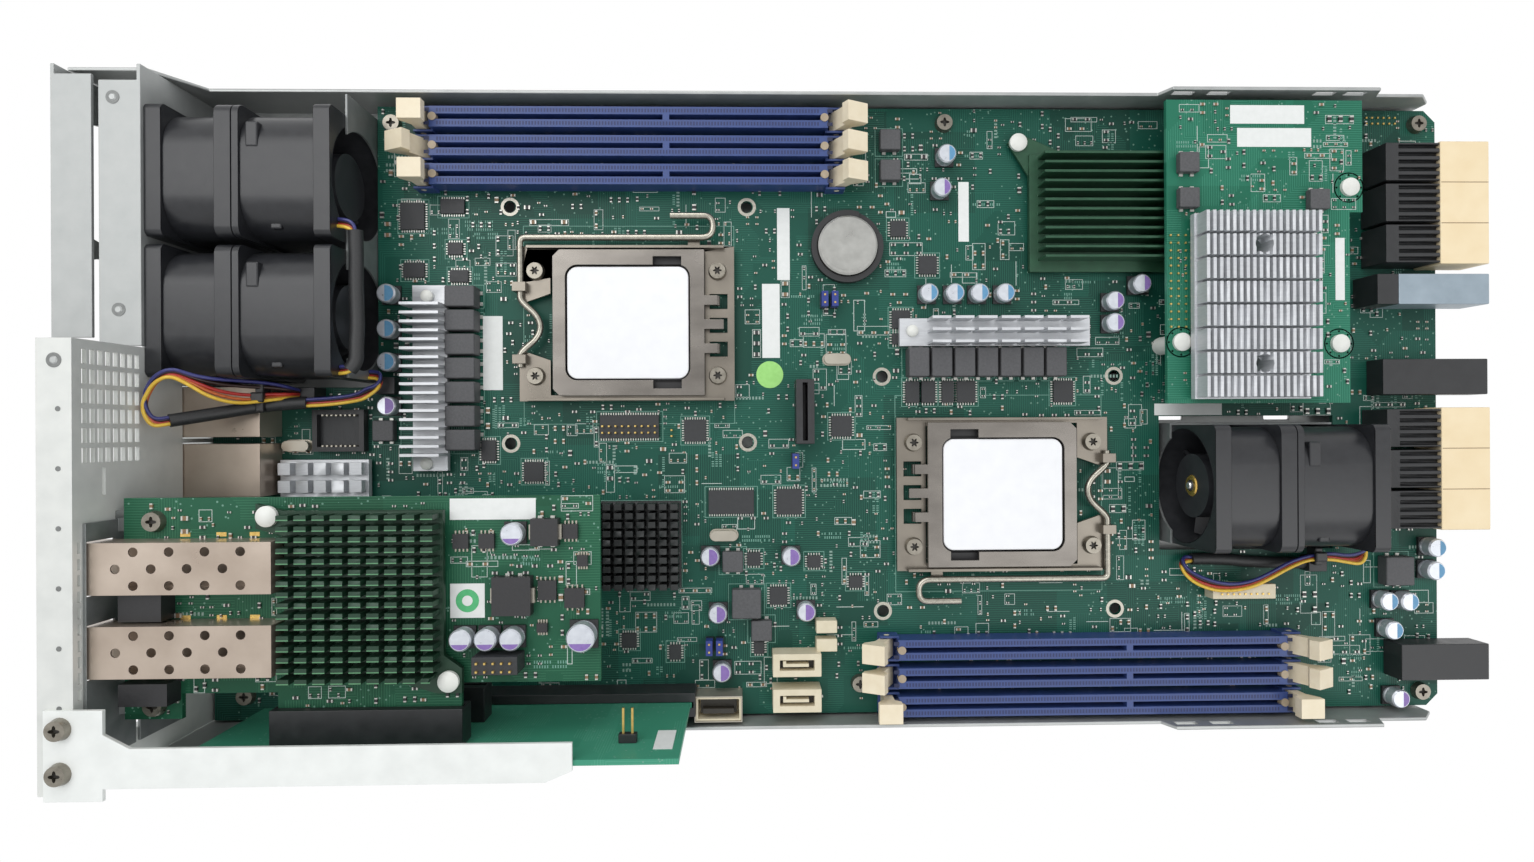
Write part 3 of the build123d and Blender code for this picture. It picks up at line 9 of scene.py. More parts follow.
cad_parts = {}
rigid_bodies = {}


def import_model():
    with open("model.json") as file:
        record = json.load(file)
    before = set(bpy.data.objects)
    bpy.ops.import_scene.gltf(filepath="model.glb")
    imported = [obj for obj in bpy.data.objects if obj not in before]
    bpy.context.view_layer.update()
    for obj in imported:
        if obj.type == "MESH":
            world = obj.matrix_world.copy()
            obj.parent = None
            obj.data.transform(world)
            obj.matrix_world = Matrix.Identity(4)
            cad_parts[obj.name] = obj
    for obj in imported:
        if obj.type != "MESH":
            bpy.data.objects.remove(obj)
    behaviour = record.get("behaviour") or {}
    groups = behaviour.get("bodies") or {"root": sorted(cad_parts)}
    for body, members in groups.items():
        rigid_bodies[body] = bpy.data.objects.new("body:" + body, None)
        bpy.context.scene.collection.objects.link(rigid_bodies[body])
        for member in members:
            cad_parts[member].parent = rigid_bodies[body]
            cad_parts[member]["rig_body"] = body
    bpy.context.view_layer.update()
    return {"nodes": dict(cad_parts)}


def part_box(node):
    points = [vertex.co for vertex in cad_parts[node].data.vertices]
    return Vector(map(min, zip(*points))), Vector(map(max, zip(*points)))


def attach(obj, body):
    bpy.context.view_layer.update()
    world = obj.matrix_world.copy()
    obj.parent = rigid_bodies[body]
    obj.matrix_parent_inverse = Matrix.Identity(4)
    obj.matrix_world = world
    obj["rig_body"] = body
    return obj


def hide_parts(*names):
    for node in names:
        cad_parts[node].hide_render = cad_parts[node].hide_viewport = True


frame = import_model()
nodes = frame["nodes"]
mm = 0.001


# The camera looks straight down on the open tray from a little left of its middle,
# close enough that tall pieces lean outwards in the picture.
camera_place = (-0.0203, -0.0069, 0.3023)
camera_turn = (0.00024, -0.024145, -0.00493)
camera_data = bpy.data.cameras.new("camera")
camera_data.sensor_width = 36.0
camera_data.lens = 20.16
camera_data.clip_start = 0.01
camera = bpy.data.objects.new("camera", camera_data)
camera.location = camera_place
camera.rotation_euler = camera_turn
bpy.context.scene.collection.objects.link(camera)
bpy.context.scene.camera = camera


# Fan cables: five thin insulated copper wires a bundle, each fan's wires leaving its frame and
# running through a black woven sleeve to a plug, with a spare loop held by a tie.
def tone(red, green, blue):
    """A paint colour, mixed on a scale to 255, as a shader takes it."""
    parts = [channel / 255 for channel in (red, green, blue)]
    return [p / 12.92 if p < 0.04 else ((p + 0.055) / 1.055) ** 2.4 for p in parts] + [1.0]


def new_material(name):
    """A node material, the makers of its nodes and links, and its main shader."""
    material = bpy.data.materials.new(name)
    material.use_nodes = True
    tree = material.node_tree.nodes
    return material, tree, material.node_tree.links.new, tree["Principled BSDF"]


def finish(name, light, dark, grain, rough, metal=0.0, relief=0.05, stretch=(1, 1, 1), gloss=0.5):
    """A surface whose colour, roughness and fine relief wander with one noise."""
    material, tree, join, skin = new_material(name)
    skin.inputs["Metallic"].default_value = metal
    skin.inputs["Specular IOR Level"].default_value = gloss
    place = tree.new("ShaderNodeTexCoord")
    scale = tree.new("ShaderNodeMapping")
    scale.inputs["Scale"].default_value = stretch
    cloud = tree.new("ShaderNodeTexNoise")
    cloud.inputs["Scale"].default_value = grain
    cloud.inputs["Detail"].default_value = 5.0
    paint = tree.new("ShaderNodeMix")
    paint.data_type = "RGBA"
    paint.inputs[6].default_value = tone(*dark)
    paint.inputs[7].default_value = tone(*light)
    sheen = tree.new("ShaderNodeMapRange")
    sheen.inputs["To Min"].default_value = rough * 0.75
    sheen.inputs["To Max"].default_value = rough * 1.25
    bumps = tree.new("ShaderNodeBump")
    bumps.inputs["Strength"].default_value = relief
    bumps.inputs["Distance"].default_value = 0.2 * mm
    join(place.outputs["Object"], scale.inputs["Vector"])
    join(scale.outputs["Vector"], cloud.inputs["Vector"])
    join(cloud.outputs["Fac"], paint.inputs["Factor"])
    join(cloud.outputs["Fac"], sheen.inputs["Value"])
    join(cloud.outputs["Fac"], bumps.inputs["Height"])
    join(paint.outputs[2], skin.inputs["Base Color"])
    join(sheen.outputs["Result"], skin.inputs["Roughness"])
    join(bumps.outputs["Normal"], skin.inputs["Normal"])
    return material


wire_colours = {
    "yellow": finish("yellow_wire", (250, 214, 84), (216, 164, 40), 900, 0.3, relief=0.02),
    "red": finish("red_wire", (206, 62, 52), (150, 40, 40), 900, 0.3, relief=0.02),
    "orange": finish("orange_wire", (222, 122, 62), (176, 84, 44), 900, 0.3, relief=0.02),
    "black": finish("dark_wire", (58, 34, 32), (28, 18, 18), 900, 0.35, relief=0.02),
    "blue": finish("blue_wire", (62, 66, 132), (40, 40, 92), 900, 0.3, relief=0.02),
}
sleeve_cloth = finish("sleeve_weave", (54, 55, 56), (18, 18, 20), 2400, 0.5, relief=0.4)
wire_thick = 1.1 * mm
sleeve_thick = 4.0 * mm


def millimetres(*route):
    """A route that is written in millimetres, in metres."""
    return [tuple(value * mm for value in place) for place in route]


front_plug_wire = millimetres(
    (-166.4, 6.2, 18.0), (-166.6, 6.2, 22.6), (-171.0, 6.4, 26.4), (-176.5, 6.0, 32.0),
    (-181.6, 7.0, 38.0), (-185.6, 9.2, 42.0), (-190.0, 11.6, 44.4), (-194.4, 9.6, 44.6),
    (-197.2, 5.6, 44.2), (-198.0, 2.6, 44.3), (-197.8, -0.2, 44.0), (-196.4, -3.6, 42.6),
)
front_sleeve = millimetres(
    (-193.6, -2.9, 40.0), (-184.5, -0.6, 31.5), (-172.0, 2.4, 24.0), (-162.0, 3.0, 21.7),
)
fan_2_wire = millimetres(
    (-154.5, 3.5, 20.0), (-146.8, 4.6, 19.9), (-143.6, 6.0, 20.2), (-141.4, 7.2, 19.8),
    (-139.9, 8.8, 19.0), (-139.8, 10.9, 18.1), (-141.4, 12.3, 16.6), (-144.2, 12.3, 16.6),
)
fan_1_sleeve = millimetres(
    (-145.0, 57.6, 36.0), (-141.9, 57.5, 36.0), (-139.8, 55.3, 35.9), (-139.7, 49.5, 35.4),
    (-140.3, 38.5, 34.7), (-139.9, 27.0, 34.6), (-140.2, 19.0, 34.9), (-140.0, 14.8, 35.2),
    (-141.9, 12.6, 35.4), (-145.0, 12.5, 35.4),
)
rear_sleeve = millimetres(
    (170.4, -52.9, 12.2), (161.0, -52.8, 12.1), (151.0, -52.3, 12.2), (141.0, -51.2, 12.1),
    (131.5, -51.3, 12.2),
)
rear_wire = millimetres(
    (129.2, -51.3, 12.2), (127.5, -52.3, 13.1), (127.9, -54.9, 14.9), (131.0, -57.6, 16.4),
    (137.0, -59.8, 17.1), (143.5, -60.2, 17.2), (150.0, -59.0, 17.1), (156.2, -56.0, 17.2),
    (162.4, -52.6, 17.1), (169.2, -50.3, 17.2), (176.4, -49.9, 17.1), (182.0, -50.9, 17.2),
    (186.6, -50.7, 17.1), (188.6, -48.7, 17.1), (188.6, -45.9, 17.0), (186.6, -43.9, 17.0),
    (183.0, -44.0, 17.1), (179.2, -43.8, 17.0),
)


def wire_along(name, route, thick, material, roundness, steps):
    """A round wire through a route, and its length."""
    line = bpy.data.curves.new(name, "CURVE")
    line.dimensions = "3D"
    line.bevel_depth = thick / 2
    line.bevel_resolution = roundness
    line.resolution_u = steps
    line.use_fill_caps = True
    spline = line.splines.new("NURBS")
    spline.points.add(len(route) - 1)
    for point, place in zip(spline.points, route):
        point.co = (*place, 1)
    spline.order_u = 3
    spline.use_endpoint_u = True
    line.materials.append(material)
    piece = bpy.data.objects.new(name, line)
    bpy.context.scene.collection.objects.link(piece)
    return piece, spline.calc_length()


def cable(name, route, thick, material, node):
    piece, length = wire_along(name, route, thick, material, 3, 8)
    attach(piece, "tray")
    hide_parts(node)


def shifted(route, shift, pulls):
    """The bundle's route for one wire, which hangs further to its side at some points."""
    return [tuple(a + b * pulls.get(index, 1) for a, b in zip(place, shift))
            for index, place in enumerate(route)]


wire_shifts = {
    "yellow": (-0.2 * mm, -1.1 * mm, 0.45 * mm),
    "red": (0, -0.3 * mm, -0.5 * mm),
    "orange": (-0.1 * mm, -0.75 * mm, -0.35 * mm),
    "black": (0.1 * mm, 0.5 * mm, -0.3 * mm),
    "blue": (0.2 * mm, 1.0 * mm, 0.4 * mm),
}
front_pulls = {1: 1.6, 2: 2.6, 3: 3.4, 4: 2.6, 5: 1.4, 8: 1.5, 13: 0.6, 14: 0.6, 18: 1.6}
rear_pulls = {0: 0.4, 1: 0.4, 2: 0.4, 3: 0.4, 4: 0.5, 8: 1.3, 9: 1.3, 14: 0.6, 17: 1.9, 18: 1.6, 21: 1.6}
upper_pulls = {4: 0.5, 5: 0.5, 6: 0.5}
for colour, shift in wire_shifts.items():
    for bundle, route, pulls, node in (
        ("front", front_plug_wire + front_sleeve + fan_2_wire, front_pulls, "fan_cable_front"),
        ("rear", rear_sleeve + rear_wire, rear_pulls, "fan_cable_rear"),
        ("upper", fan_1_sleeve, upper_pulls, "fan_cable_front"),
    ):
        cable(bundle + "_wire_" + colour, shifted(route, shift, pulls), wire_thick, wire_colours[colour],
              node)
cable("front_sleeve", front_sleeve, sleeve_thick, sleeve_cloth, "fan_cable_front")
cable("fan_1_sleeve", fan_1_sleeve[2:-1], 1.1 * sleeve_thick, sleeve_cloth, "fan_cable_front")
cable("rear_sleeve", rear_sleeve, sleeve_thick, sleeve_cloth, "fan_cable_rear")


# The table under the tray: a plain white sheet, lit evenly by soft boxes from above,
# that shows pure white to the camera and keeps the tray's shadow for everything else.
def seen_directly(tree, join):
    """One for rays from the camera, a mirror or a clear solid, and nothing for the rest."""
    rays = tree.new("ShaderNodeLightPath")
    total = rays.outputs["Is Camera Ray"]
    for kind in ("Is Glossy Ray", "Is Transmission Ray"):
        either = tree.new("ShaderNodeMath")
        either.operation = "MAXIMUM"
        join(total, either.inputs[0])
        join(rays.outputs[kind], either.inputs[1])
        total = either.outputs["Value"]
    return total


def backdrop_white():
    material, tree, join, skin = new_material("backdrop_white")
    skin.inputs["Base Color"].default_value = (0.9, 0.9, 0.9, 1)
    skin.inputs["Roughness"].default_value = 0.9
    glow = tree.new("ShaderNodeEmission")
    glow.inputs["Strength"].default_value = 1.0
    choose = tree.new("ShaderNodeMixShader")
    join(seen_directly(tree, join), choose.inputs["Fac"])
    join(skin.outputs["BSDF"], choose.inputs[1])
    join(glow.outputs["Emission"], choose.inputs[2])
    join(choose.outputs["Shader"], tree["Material Output"].inputs["Surface"])
    return material


def linked(name, shape, material, body="tray"):
    """A finished mesh piece with its normals outwards, carried by its body; the floor has none."""
    bmesh.ops.recalc_face_normals(shape, faces=shape.faces)
    mesh = bpy.data.meshes.new(name)
    shape.to_mesh(mesh)
    shape.free()
    for one in material if isinstance(material, list) else [material]:
        mesh.materials.append(one)
    piece = bpy.data.objects.new(name, mesh)
    bpy.context.scene.collection.objects.link(piece)
    if body:
        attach(piece, body)
    return piece


floor_half = 6.0
floor_drop = 0.0005
floor_shape = bmesh.new()
bmesh.ops.create_grid(floor_shape, x_segments=1, y_segments=1, size=floor_half,
                      matrix=Matrix.Translation((0, 0, -floor_drop)))
floor = linked("floor", floor_shape, backdrop_white(), None)


def soft_box(name, place, side, power):
    data = bpy.data.lights.new(name, "AREA")
    data.size = side
    data.energy = power
    lamp = bpy.data.objects.new(name, data)
    aim = -Vector(place)
    turn = aim.to_track_quat("-Z", "Y").to_matrix().to_4x4()
    lamp.matrix_world = Matrix.Translation(place) @ turn
    bpy.context.scene.collection.objects.link(lamp)


soft_box("lamp_left", (-0.55, 0.45, 1.1), 0.8, 5.5)
soft_box("lamp_right", (0.6, -0.35, 1.0), 0.7, 2.6)
soft_box("lamp_window", (-0.15, 1.0, 0.62), 0.5, 2.6)
world = bpy.data.worlds.new("room")
world.use_nodes = True
room = world.node_tree.nodes
wire = world.node_tree.links.new
room["Background"].inputs["Color"].default_value = (0.93, 0.96, 1.0, 1)
room["Background"].inputs["Strength"].default_value = 0.62
plain_white = room.new("ShaderNodeBackground")
plain_white.inputs["Color"].default_value = (1, 1, 1, 1)
plain_white.inputs["Strength"].default_value = 1.0
sky = room.new("ShaderNodeMixShader")
wire(seen_directly(room, wire), sky.inputs["Fac"])
wire(room["Background"].outputs["Background"], sky.inputs[1])
wire(plain_white.outputs["Background"], sky.inputs[2])
wire(sky.outputs["Shader"], room["World Output"].inputs["Surface"])
bpy.context.scene.world = world
bpy.context.scene.view_settings.view_transform = "Standard"


# Sheet metal of the tray: zinc-coated steel, cut, folded and spot-welded. The floor and walls are
# one sheet, and the hood over the fans, the port wall and the bar are screwed or welded to it.
def solid_shape(node):
    """The CAD node's own mesh with its corners joined."""
    shape = bmesh.new()
    shape.from_mesh(nodes[node].data)
    bmesh.ops.remove_doubles(shape, verts=shape.verts, dist=0.002 * mm)
    return shape


def merged_copy(node):
    """The same with its flat faces whole, so that a bevel can follow it."""
    shape = solid_shape(node)
    bmesh.ops.dissolve_limit(shape, angle_limit=math.radians(1), verts=shape.verts, edges=shape.edges)
    return shape


def smooth(piece, angle=32):
    piece.data.polygons.foreach_set("use_smooth", [True] * len(piece.data.polygons))
    piece.data.set_sharp_from_angle(angle=math.radians(angle))


def soften(piece, width, segments=1, angle=40, harden=True):
    """Breaks the sharp edges of a piece; the width is in millimetres."""
    soft = piece.modifiers.new("edges", "BEVEL")
    soft.width = width * mm
    soft.segments = segments
    soft.limit_method = "ANGLE"
    soft.angle_limit = math.radians(angle)
    soft.harden_normals = harden


def rounded(node, material, edge, segments=1):
    """The node's shape with its edges broken as the real piece's are."""
    piece = linked(node + "_skin", merged_copy(node), material, nodes[node]["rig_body"])
    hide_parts(node)
    smooth(piece)
    soften(piece, edge, segments)
    return piece


def paint(node, material):
    """A node whose shape is right keeps it and takes this finish."""
    slots = nodes[node].data.materials
    slots.clear()
    slots.append(material)


# The tray, hood, port wall, bar and brackets are all the same zinc coat. The port wall's and the bar's copies
# are made lighter as painted light, and the brackets' copy darker as painted shade.
zinc = finish("zinc_coat", (188, 190, 188), (156, 159, 158), 160, 0.42, metal=0.5)
zinc_hood = finish("zinc_hood", (182, 184, 182), (152, 155, 154), 160, 0.45, metal=0.4)
zinc_painted_light = finish("zinc_painted_light", (244, 246, 242), (222, 224, 220), 160, 0.5, metal=0.12)
zinc_wall_painted_light = finish("zinc_wall_painted_light", (228, 229, 224), (202, 204, 200), 160, 0.5, metal=0.2)
zinc_painted_shade = finish("zinc_coat_painted_shade", (150, 153, 152), (112, 116, 116), 220, 0.45, metal=0.5)
rounded("tray_pan", zinc, 0.3)
rounded("fan_exhaust_panel", zinc_hood, 0.2)
rounded("io_panel", zinc_wall_painted_light, 0.2)
rounded("card_retaining_bar", zinc_painted_light, 0.25, 2)
rounded("sheet_brackets", zinc_painted_shade, 0.15)


def tint(made, index):
    """Gives the faces of new corners their material."""
    for face in {face for vert in made for face in vert.link_faces}:
        face.material_index = index
    return made


def block(shape, low, high, index=0):
    """A box between two corners."""
    size = [b - a for a, b in zip(low, high)]
    centre = [(a + b) / 2 for a, b in zip(low, high)]
    place = Matrix.Translation(centre) @ Matrix.Diagonal((*size, 1))
    return tint(bmesh.ops.create_cube(shape, size=1, matrix=place)["verts"], index)


def brick(shape, x0, y0, z0, x1, y1, z1, index=0):
    """A box whose corners are given in millimetres."""
    return block(shape, (x0 * mm, y0 * mm, z0 * mm), (x1 * mm, y1 * mm, z1 * mm), index)


def ease(shape, edges, width, segments):
    """Rounds these edges; the width is in millimetres."""
    bmesh.ops.bevel(shape, geom=edges, offset=width * mm, offset_type="OFFSET", segments=segments,
                    profile=0.5, affect="EDGES", material=-1)


def both_ends(low, high, reach, bite=0):
    """Spans that stick out at both ends of a body and bite into it."""
    return (low - reach, low + bite), (high - bite, high + reach)


def upright_round(low, high):
    """The middle and radius of an upright round between two corners."""
    return (low.x + high.x) / 2, (low.y + high.y) / 2, (high.x - low.x) / 2


def post(shape, x, y, radius, low, high, index=0, segments=24, top=None, capped=True):
    """An upright round, straight or tapered."""
    place = Matrix.Translation((x, y, (low + high) / 2))
    made = bmesh.ops.create_cone(shape, cap_ends=capped, segments=segments, radius1=radius,
                                 radius2=radius if top is None else top, depth=high - low, matrix=place)
    return tint(made["verts"], index)


# Ties: black nylon straps pulled tight round the two bundles beside the fans, with a square
# head on top.
tie_black = finish("tie_black", (40, 40, 42), (18, 18, 20), 700, 0.35)
ties = bmesh.new()
for x, y, z, reach in ((-173.5, 4.5, 26.5, 4.6), (172.2, -50.0, 16.0, 3.0)):
    brick(ties, x - 1.3, y - reach, z - 3.0, x + 1.3, y + reach, z + 1.9)
    brick(ties, x - 2.0, y - 1.6, z + 1.9, x + 2.0, y + 1.6, z + 3.4)
ease(ties, ties.edges[:], 0.5, 2)
linked("wire_ties", ties, tie_black)


# Rivets and pressed marks on the hood and port wall: half-sheared dimples about 3 mm across,
# pressed from below, with a darker ring where the zinc is thin.
dimple_ring = finish("dimple_ring", (140, 142, 140), (96, 98, 98), 900, 0.5, metal=0.6)
hood_low, hood_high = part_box("fan_exhaust_panel")
wall_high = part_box("io_panel")[1]
dimples = bmesh.new()
for x, y, z in (
    (hood_high.x - 8.1 * mm, hood_high.y - 10.0 * mm, hood_high.z),
    (hood_high.x - 6.6 * mm, hood_low.y + 10.8 * mm, hood_high.z),
    (wall_high.x - 4.6 * mm, wall_high.y - 6.0 * mm, wall_high.z),
):
    post(dimples, x, y, 2.0 * mm, z, z + 0.12 * mm, 0, 32)
    post(dimples, x, y, 1.2 * mm, z, z + 0.4 * mm, 1, 32, 0.8 * mm)
for step in range(6):
    x = wall_high.x - 3.6 * mm
    y = wall_high.y - (19.0 + 16.0 * step) * mm
    post(dimples, x, y, 0.7 * mm, wall_high.z, wall_high.z + 0.1 * mm, 0, 16)
linked("panel_dimples", dimples, [dimple_ring, zinc])


# The main board: twelve-layer glass laminate under dark green solder mask. Copper traces and
# vias show through the mask as lighter lines and dots.
def solder_mask(name, deep, trace, patch):
    """Green mask over routed copper, vias and poured areas."""
    deep, trace, patch = tone(*deep), tone(*trace), tone(*patch)
    material, tree, join, skin = new_material(name)
    skin.inputs["Roughness"].default_value = 0.42
    skin.inputs["Specular IOR Level"].default_value = 0.25
    place = tree.new("ShaderNodeTexCoord")

    def maths(kind, first, second):
        node = tree.new("ShaderNodeMath")
        node.operation = kind
        for socket, value in zip(node.inputs, (first, second)):
            if isinstance(value, (int, float)):
                socket.default_value = value
            else:
                join(value, socket)
        return node.outputs["Value"]

    def mixed(amount, low, high):
        node = tree.new("ShaderNodeMix")
        node.data_type = "RGBA"
        join(amount, node.inputs["Factor"])
        for socket, value in ((node.inputs[6], low), (node.inputs[7], high)):
            if isinstance(value, list):
                socket.default_value = value
            else:
                join(value, socket)
        return node.outputs[2]

    def stripes(direction, scale, thin):
        bands = tree.new("ShaderNodeTexWave")
        bands.bands_direction = direction
        bands.inputs["Scale"].default_value = scale
        bands.inputs["Distortion"].default_value = 0.6
        bands.inputs["Detail"].default_value = 1.0
        bands.inputs["Detail Scale"].default_value = 0.4
        join(place.outputs["Object"], bands.inputs["Vector"])
        return maths("GREATER_THAN", bands.outputs["Fac"], thin)

    def cells(scale, distance):
        node = tree.new("ShaderNodeTexVoronoi")
        node.distance = distance
        node.inputs["Scale"].default_value = scale
        join(place.outputs["Object"], node.inputs["Vector"])
        return node

    zones = cells(70, "CHEBYCHEV")
    pick = tree.new("ShaderNodeSeparateColor")
    join(zones.outputs["Color"], pick.inputs["Color"])
    trace_scale, trace_cut = 420, 0.86
    along = stripes("X", trace_scale, trace_cut)
    across = stripes("Y", trace_scale, trace_cut)
    turned = maths("GREATER_THAN", pick.outputs["Red"], 0.5)
    lines = maths("ADD", maths("MULTIPLY", along, turned),
                  maths("MULTIPLY", across, maths("SUBTRACT", 1.0, turned)))
    routed = maths("MULTIPLY", lines, maths("GREATER_THAN", pick.outputs["Green"], 0.25))
    vias = maths("LESS_THAN", cells(520, "EUCLIDEAN").outputs["Distance"], 0.16)
    dotted = maths("MULTIPLY", vias, maths("GREATER_THAN", pick.outputs["Blue"], 0.35))
    pours = maths("GREATER_THAN", cells(26, "CHEBYCHEV").outputs["Distance"], 0.36)
    clouds = tree.new("ShaderNodeTexNoise")
    clouds.inputs["Scale"].default_value = 24
    join(place.outputs["Object"], clouds.inputs["Vector"])
    ground = mixed(maths("MULTIPLY", pours, 0.5), deep, patch)
    traced = mixed(maths("MULTIPLY", routed, 0.38), ground, trace)
    pricked = mixed(maths("MULTIPLY", dotted, 0.8), traced, tone(126, 168, 150))
    shaded = mixed(maths("MULTIPLY", clouds.outputs["Fac"], 0.3), pricked, deep)
    bumps = tree.new("ShaderNodeBump")
    bumps.inputs["Strength"].default_value = 0.25
    bumps.inputs["Distance"].default_value = 0.05 * mm
    join(maths("ADD", routed, dotted), bumps.inputs["Height"])
    join(bumps.outputs["Normal"], skin.inputs["Normal"])
    join(shaded, skin.inputs["Base Color"])
    return material


mask_green = solder_mask("mask_green", (14, 66, 54), (66, 140, 118), (24, 92, 76))
network_green = solder_mask("network_green", (26, 80, 56), (84, 148, 112), (38, 98, 72))
storage_green = solder_mask("storage_green", (30, 104, 80), (96, 172, 146), (46, 124, 98))
# The riser's mask is mixed much lighter than the main board's as painted light, to lift the bar's shadow that
# falls on it.
riser_green_painted_light = solder_mask("riser_green_painted_light", (62, 142, 114), (116, 186, 158), (78, 158, 130))
paint("main_board", mask_green)
paint("riser_board", riser_green_painted_light)
paint("storage_card_board", storage_green)
paint("network_card_board", network_green)


# Parts soldered on the boards: a few thousand chip resistors and capacitors with tinned ends,
# set in rows round the larger packages by machine, and their printed outlines.
def parts_of(node):
    """The lowest and highest corner of each separate solid in a group."""
    shape = solid_shape(node)
    left = set(shape.verts)
    found = []
    while left:
        start = left.pop()
        group = [start]
        reach = [start]
        while reach:
            vert = reach.pop()
            for edge in vert.link_edges:
                other = edge.other_vert(vert)
                if other in left:
                    left.remove(other)
                    group.append(other)
                    reach.append(other)
        low = Vector([min(v.co[axis] for v in group) for axis in range(3)])
        high = Vector([max(v.co[axis] for v in group) for axis in range(3)])
        found.append((low, high))
    shape.free()
    return sorted(found, key=lambda pair: tuple(pair[0]))


def all_solids():
    shape = bmesh.new()
    for name, node in nodes.items():
        if name not in ("main_board", "network_card_board", "storage_card_board", "riser_board"):
            shape.from_mesh(node.data)
    tree = BVHTree.FromBMesh(shape)
    shape.free()
    return tree


def bare_board(node):
    """A board's solid, its lowest and highest corner and the height of its face."""
    mesh = nodes[node].data
    tree = BVHTree.FromPolygons([v.co.copy() for v in mesh.vertices], [p.vertices[:] for p in mesh.polygons])
    low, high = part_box(node)
    return tree, low, high, high.z


solids = all_solids()
main_board, network_board, storage_board = (
    bare_board(node) for node in ("main_board", "network_card_board", "storage_card_board"))
board_face, network_face, storage_face = (board[3] for board in (main_board, network_board, storage_board))
up = Vector((0, 0, 1))
print_thick = 0.04 * mm


# x0, y0, x1, y1 in millimetres, and what carries the label
label_places = (
    (-109.0, 7.4, -102.4, 32.4, "board"), (-9.5, 44.5, -5.2, 69.0, "board"),
    (-14.7, 18.0, -8.7, 43.2, "board"), (52.6, 57.6, 56.2, 78.0, "board"),
    (120.1, -2.1, 143.6, 1.9, "board"), (139.0, 93.3, 163.7, 99.4, "storage"),
    (141.3, 85.7, 166.0, 91.9, "storage"), (173.9, 35.3, 177.0, 55.8, "storage"),
    (-105.0, -31.8, -80.6, -25.7, "network"), (-105.0, -59.8, -95.2, -50.0, "network"),
    (-17.0, 7.5, -7.4, 17.1, "disc"),
)


def free_spot(x, y, half_x, half_y, seat, carrier, headroom=7 * mm):
    """True where a part of this size would stand on the bare board and touch nothing."""
    for x0, y0, x1, y1, _ in label_places:
        if (x0 * mm < x + half_x and x - half_x < x1 * mm
                and y0 * mm < y + half_y and y - half_y < y1 * mm):
            return False
    for a in (-half_x, 0, half_x):
        for b in (-half_y, 0, half_y):
            start = Vector((x + a, y + b, seat + 0.05 * mm))
            if carrier.ray_cast(start, -up, 1 * mm)[0] is None:
                return False
            if solids.ray_cast(start, up, headroom)[0] is not None:
                return False
    return True


tan_body = finish("chip_tan", (148, 120, 88), (110, 84, 60), 1500, 0.5)
black_body = finish("chip_black", (44, 44, 46), (26, 26, 28), 1500, 0.45)
tinned = finish("tinned_end", (214, 214, 208), (170, 170, 164), 1800, 0.35, metal=0.6)
white_ink = finish("white_ink", (214, 222, 216), (178, 192, 184), 1800, 0.6)


def many_blocks(boxes):
    """Boxes made in small batches, since a big mesh is slow to add to."""
    whole = bmesh.new()
    store = bpy.data.meshes.new("batch")
    batch_size = 120
    for start in range(0, len(boxes), batch_size):
        batch = bmesh.new()
        for low, high, index in boxes[start:start + batch_size]:
            block(batch, low, high, index)
        batch.to_mesh(store)
        batch.free()
        whole.from_mesh(store)
    bpy.data.meshes.remove(store)
    return whole


def small_part(boxes, x, y, length, width, height, seat, turned, body):
    """A chip part: its body and its two tinned ends."""
    half = length / 2
    end = 0.24 * length
    across = width / 2
    for start, stop, index in ((end - half, half - end, body), (-half, end - half, 2), (half - end, half, 2)):
        if turned:
            boxes.append(((x - across, y + start, seat), (x + across, y + stop, seat + height), index))
        else:
            boxes.append(((x + start, y - across, seat), (x + stop, y + across, seat + height), index))


def four_sides(x0, y0, x1, y1, line):
    """The four strips that frame a place."""
    return ((x0, y0, x1, y0 + line), (x0, y1 - line, x1, y1),
            (x0, y0 + line, x0 + line, y1 - line), (x1 - line, y0 + line, x1, y1 - line))


def print_frame(boxes, x0, y0, x1, y1, seat, line):
    """Four printed strokes round a place."""
    for a, b, c, d in four_sides(x0, y0, x1, y1, line):
        boxes.append(((a, b, seat), (c, d, seat + print_thick), 0))


part_sizes = ((1.0, 0.55, 0.4), (1.6, 0.8, 0.5), (2.0, 1.25, 0.7))


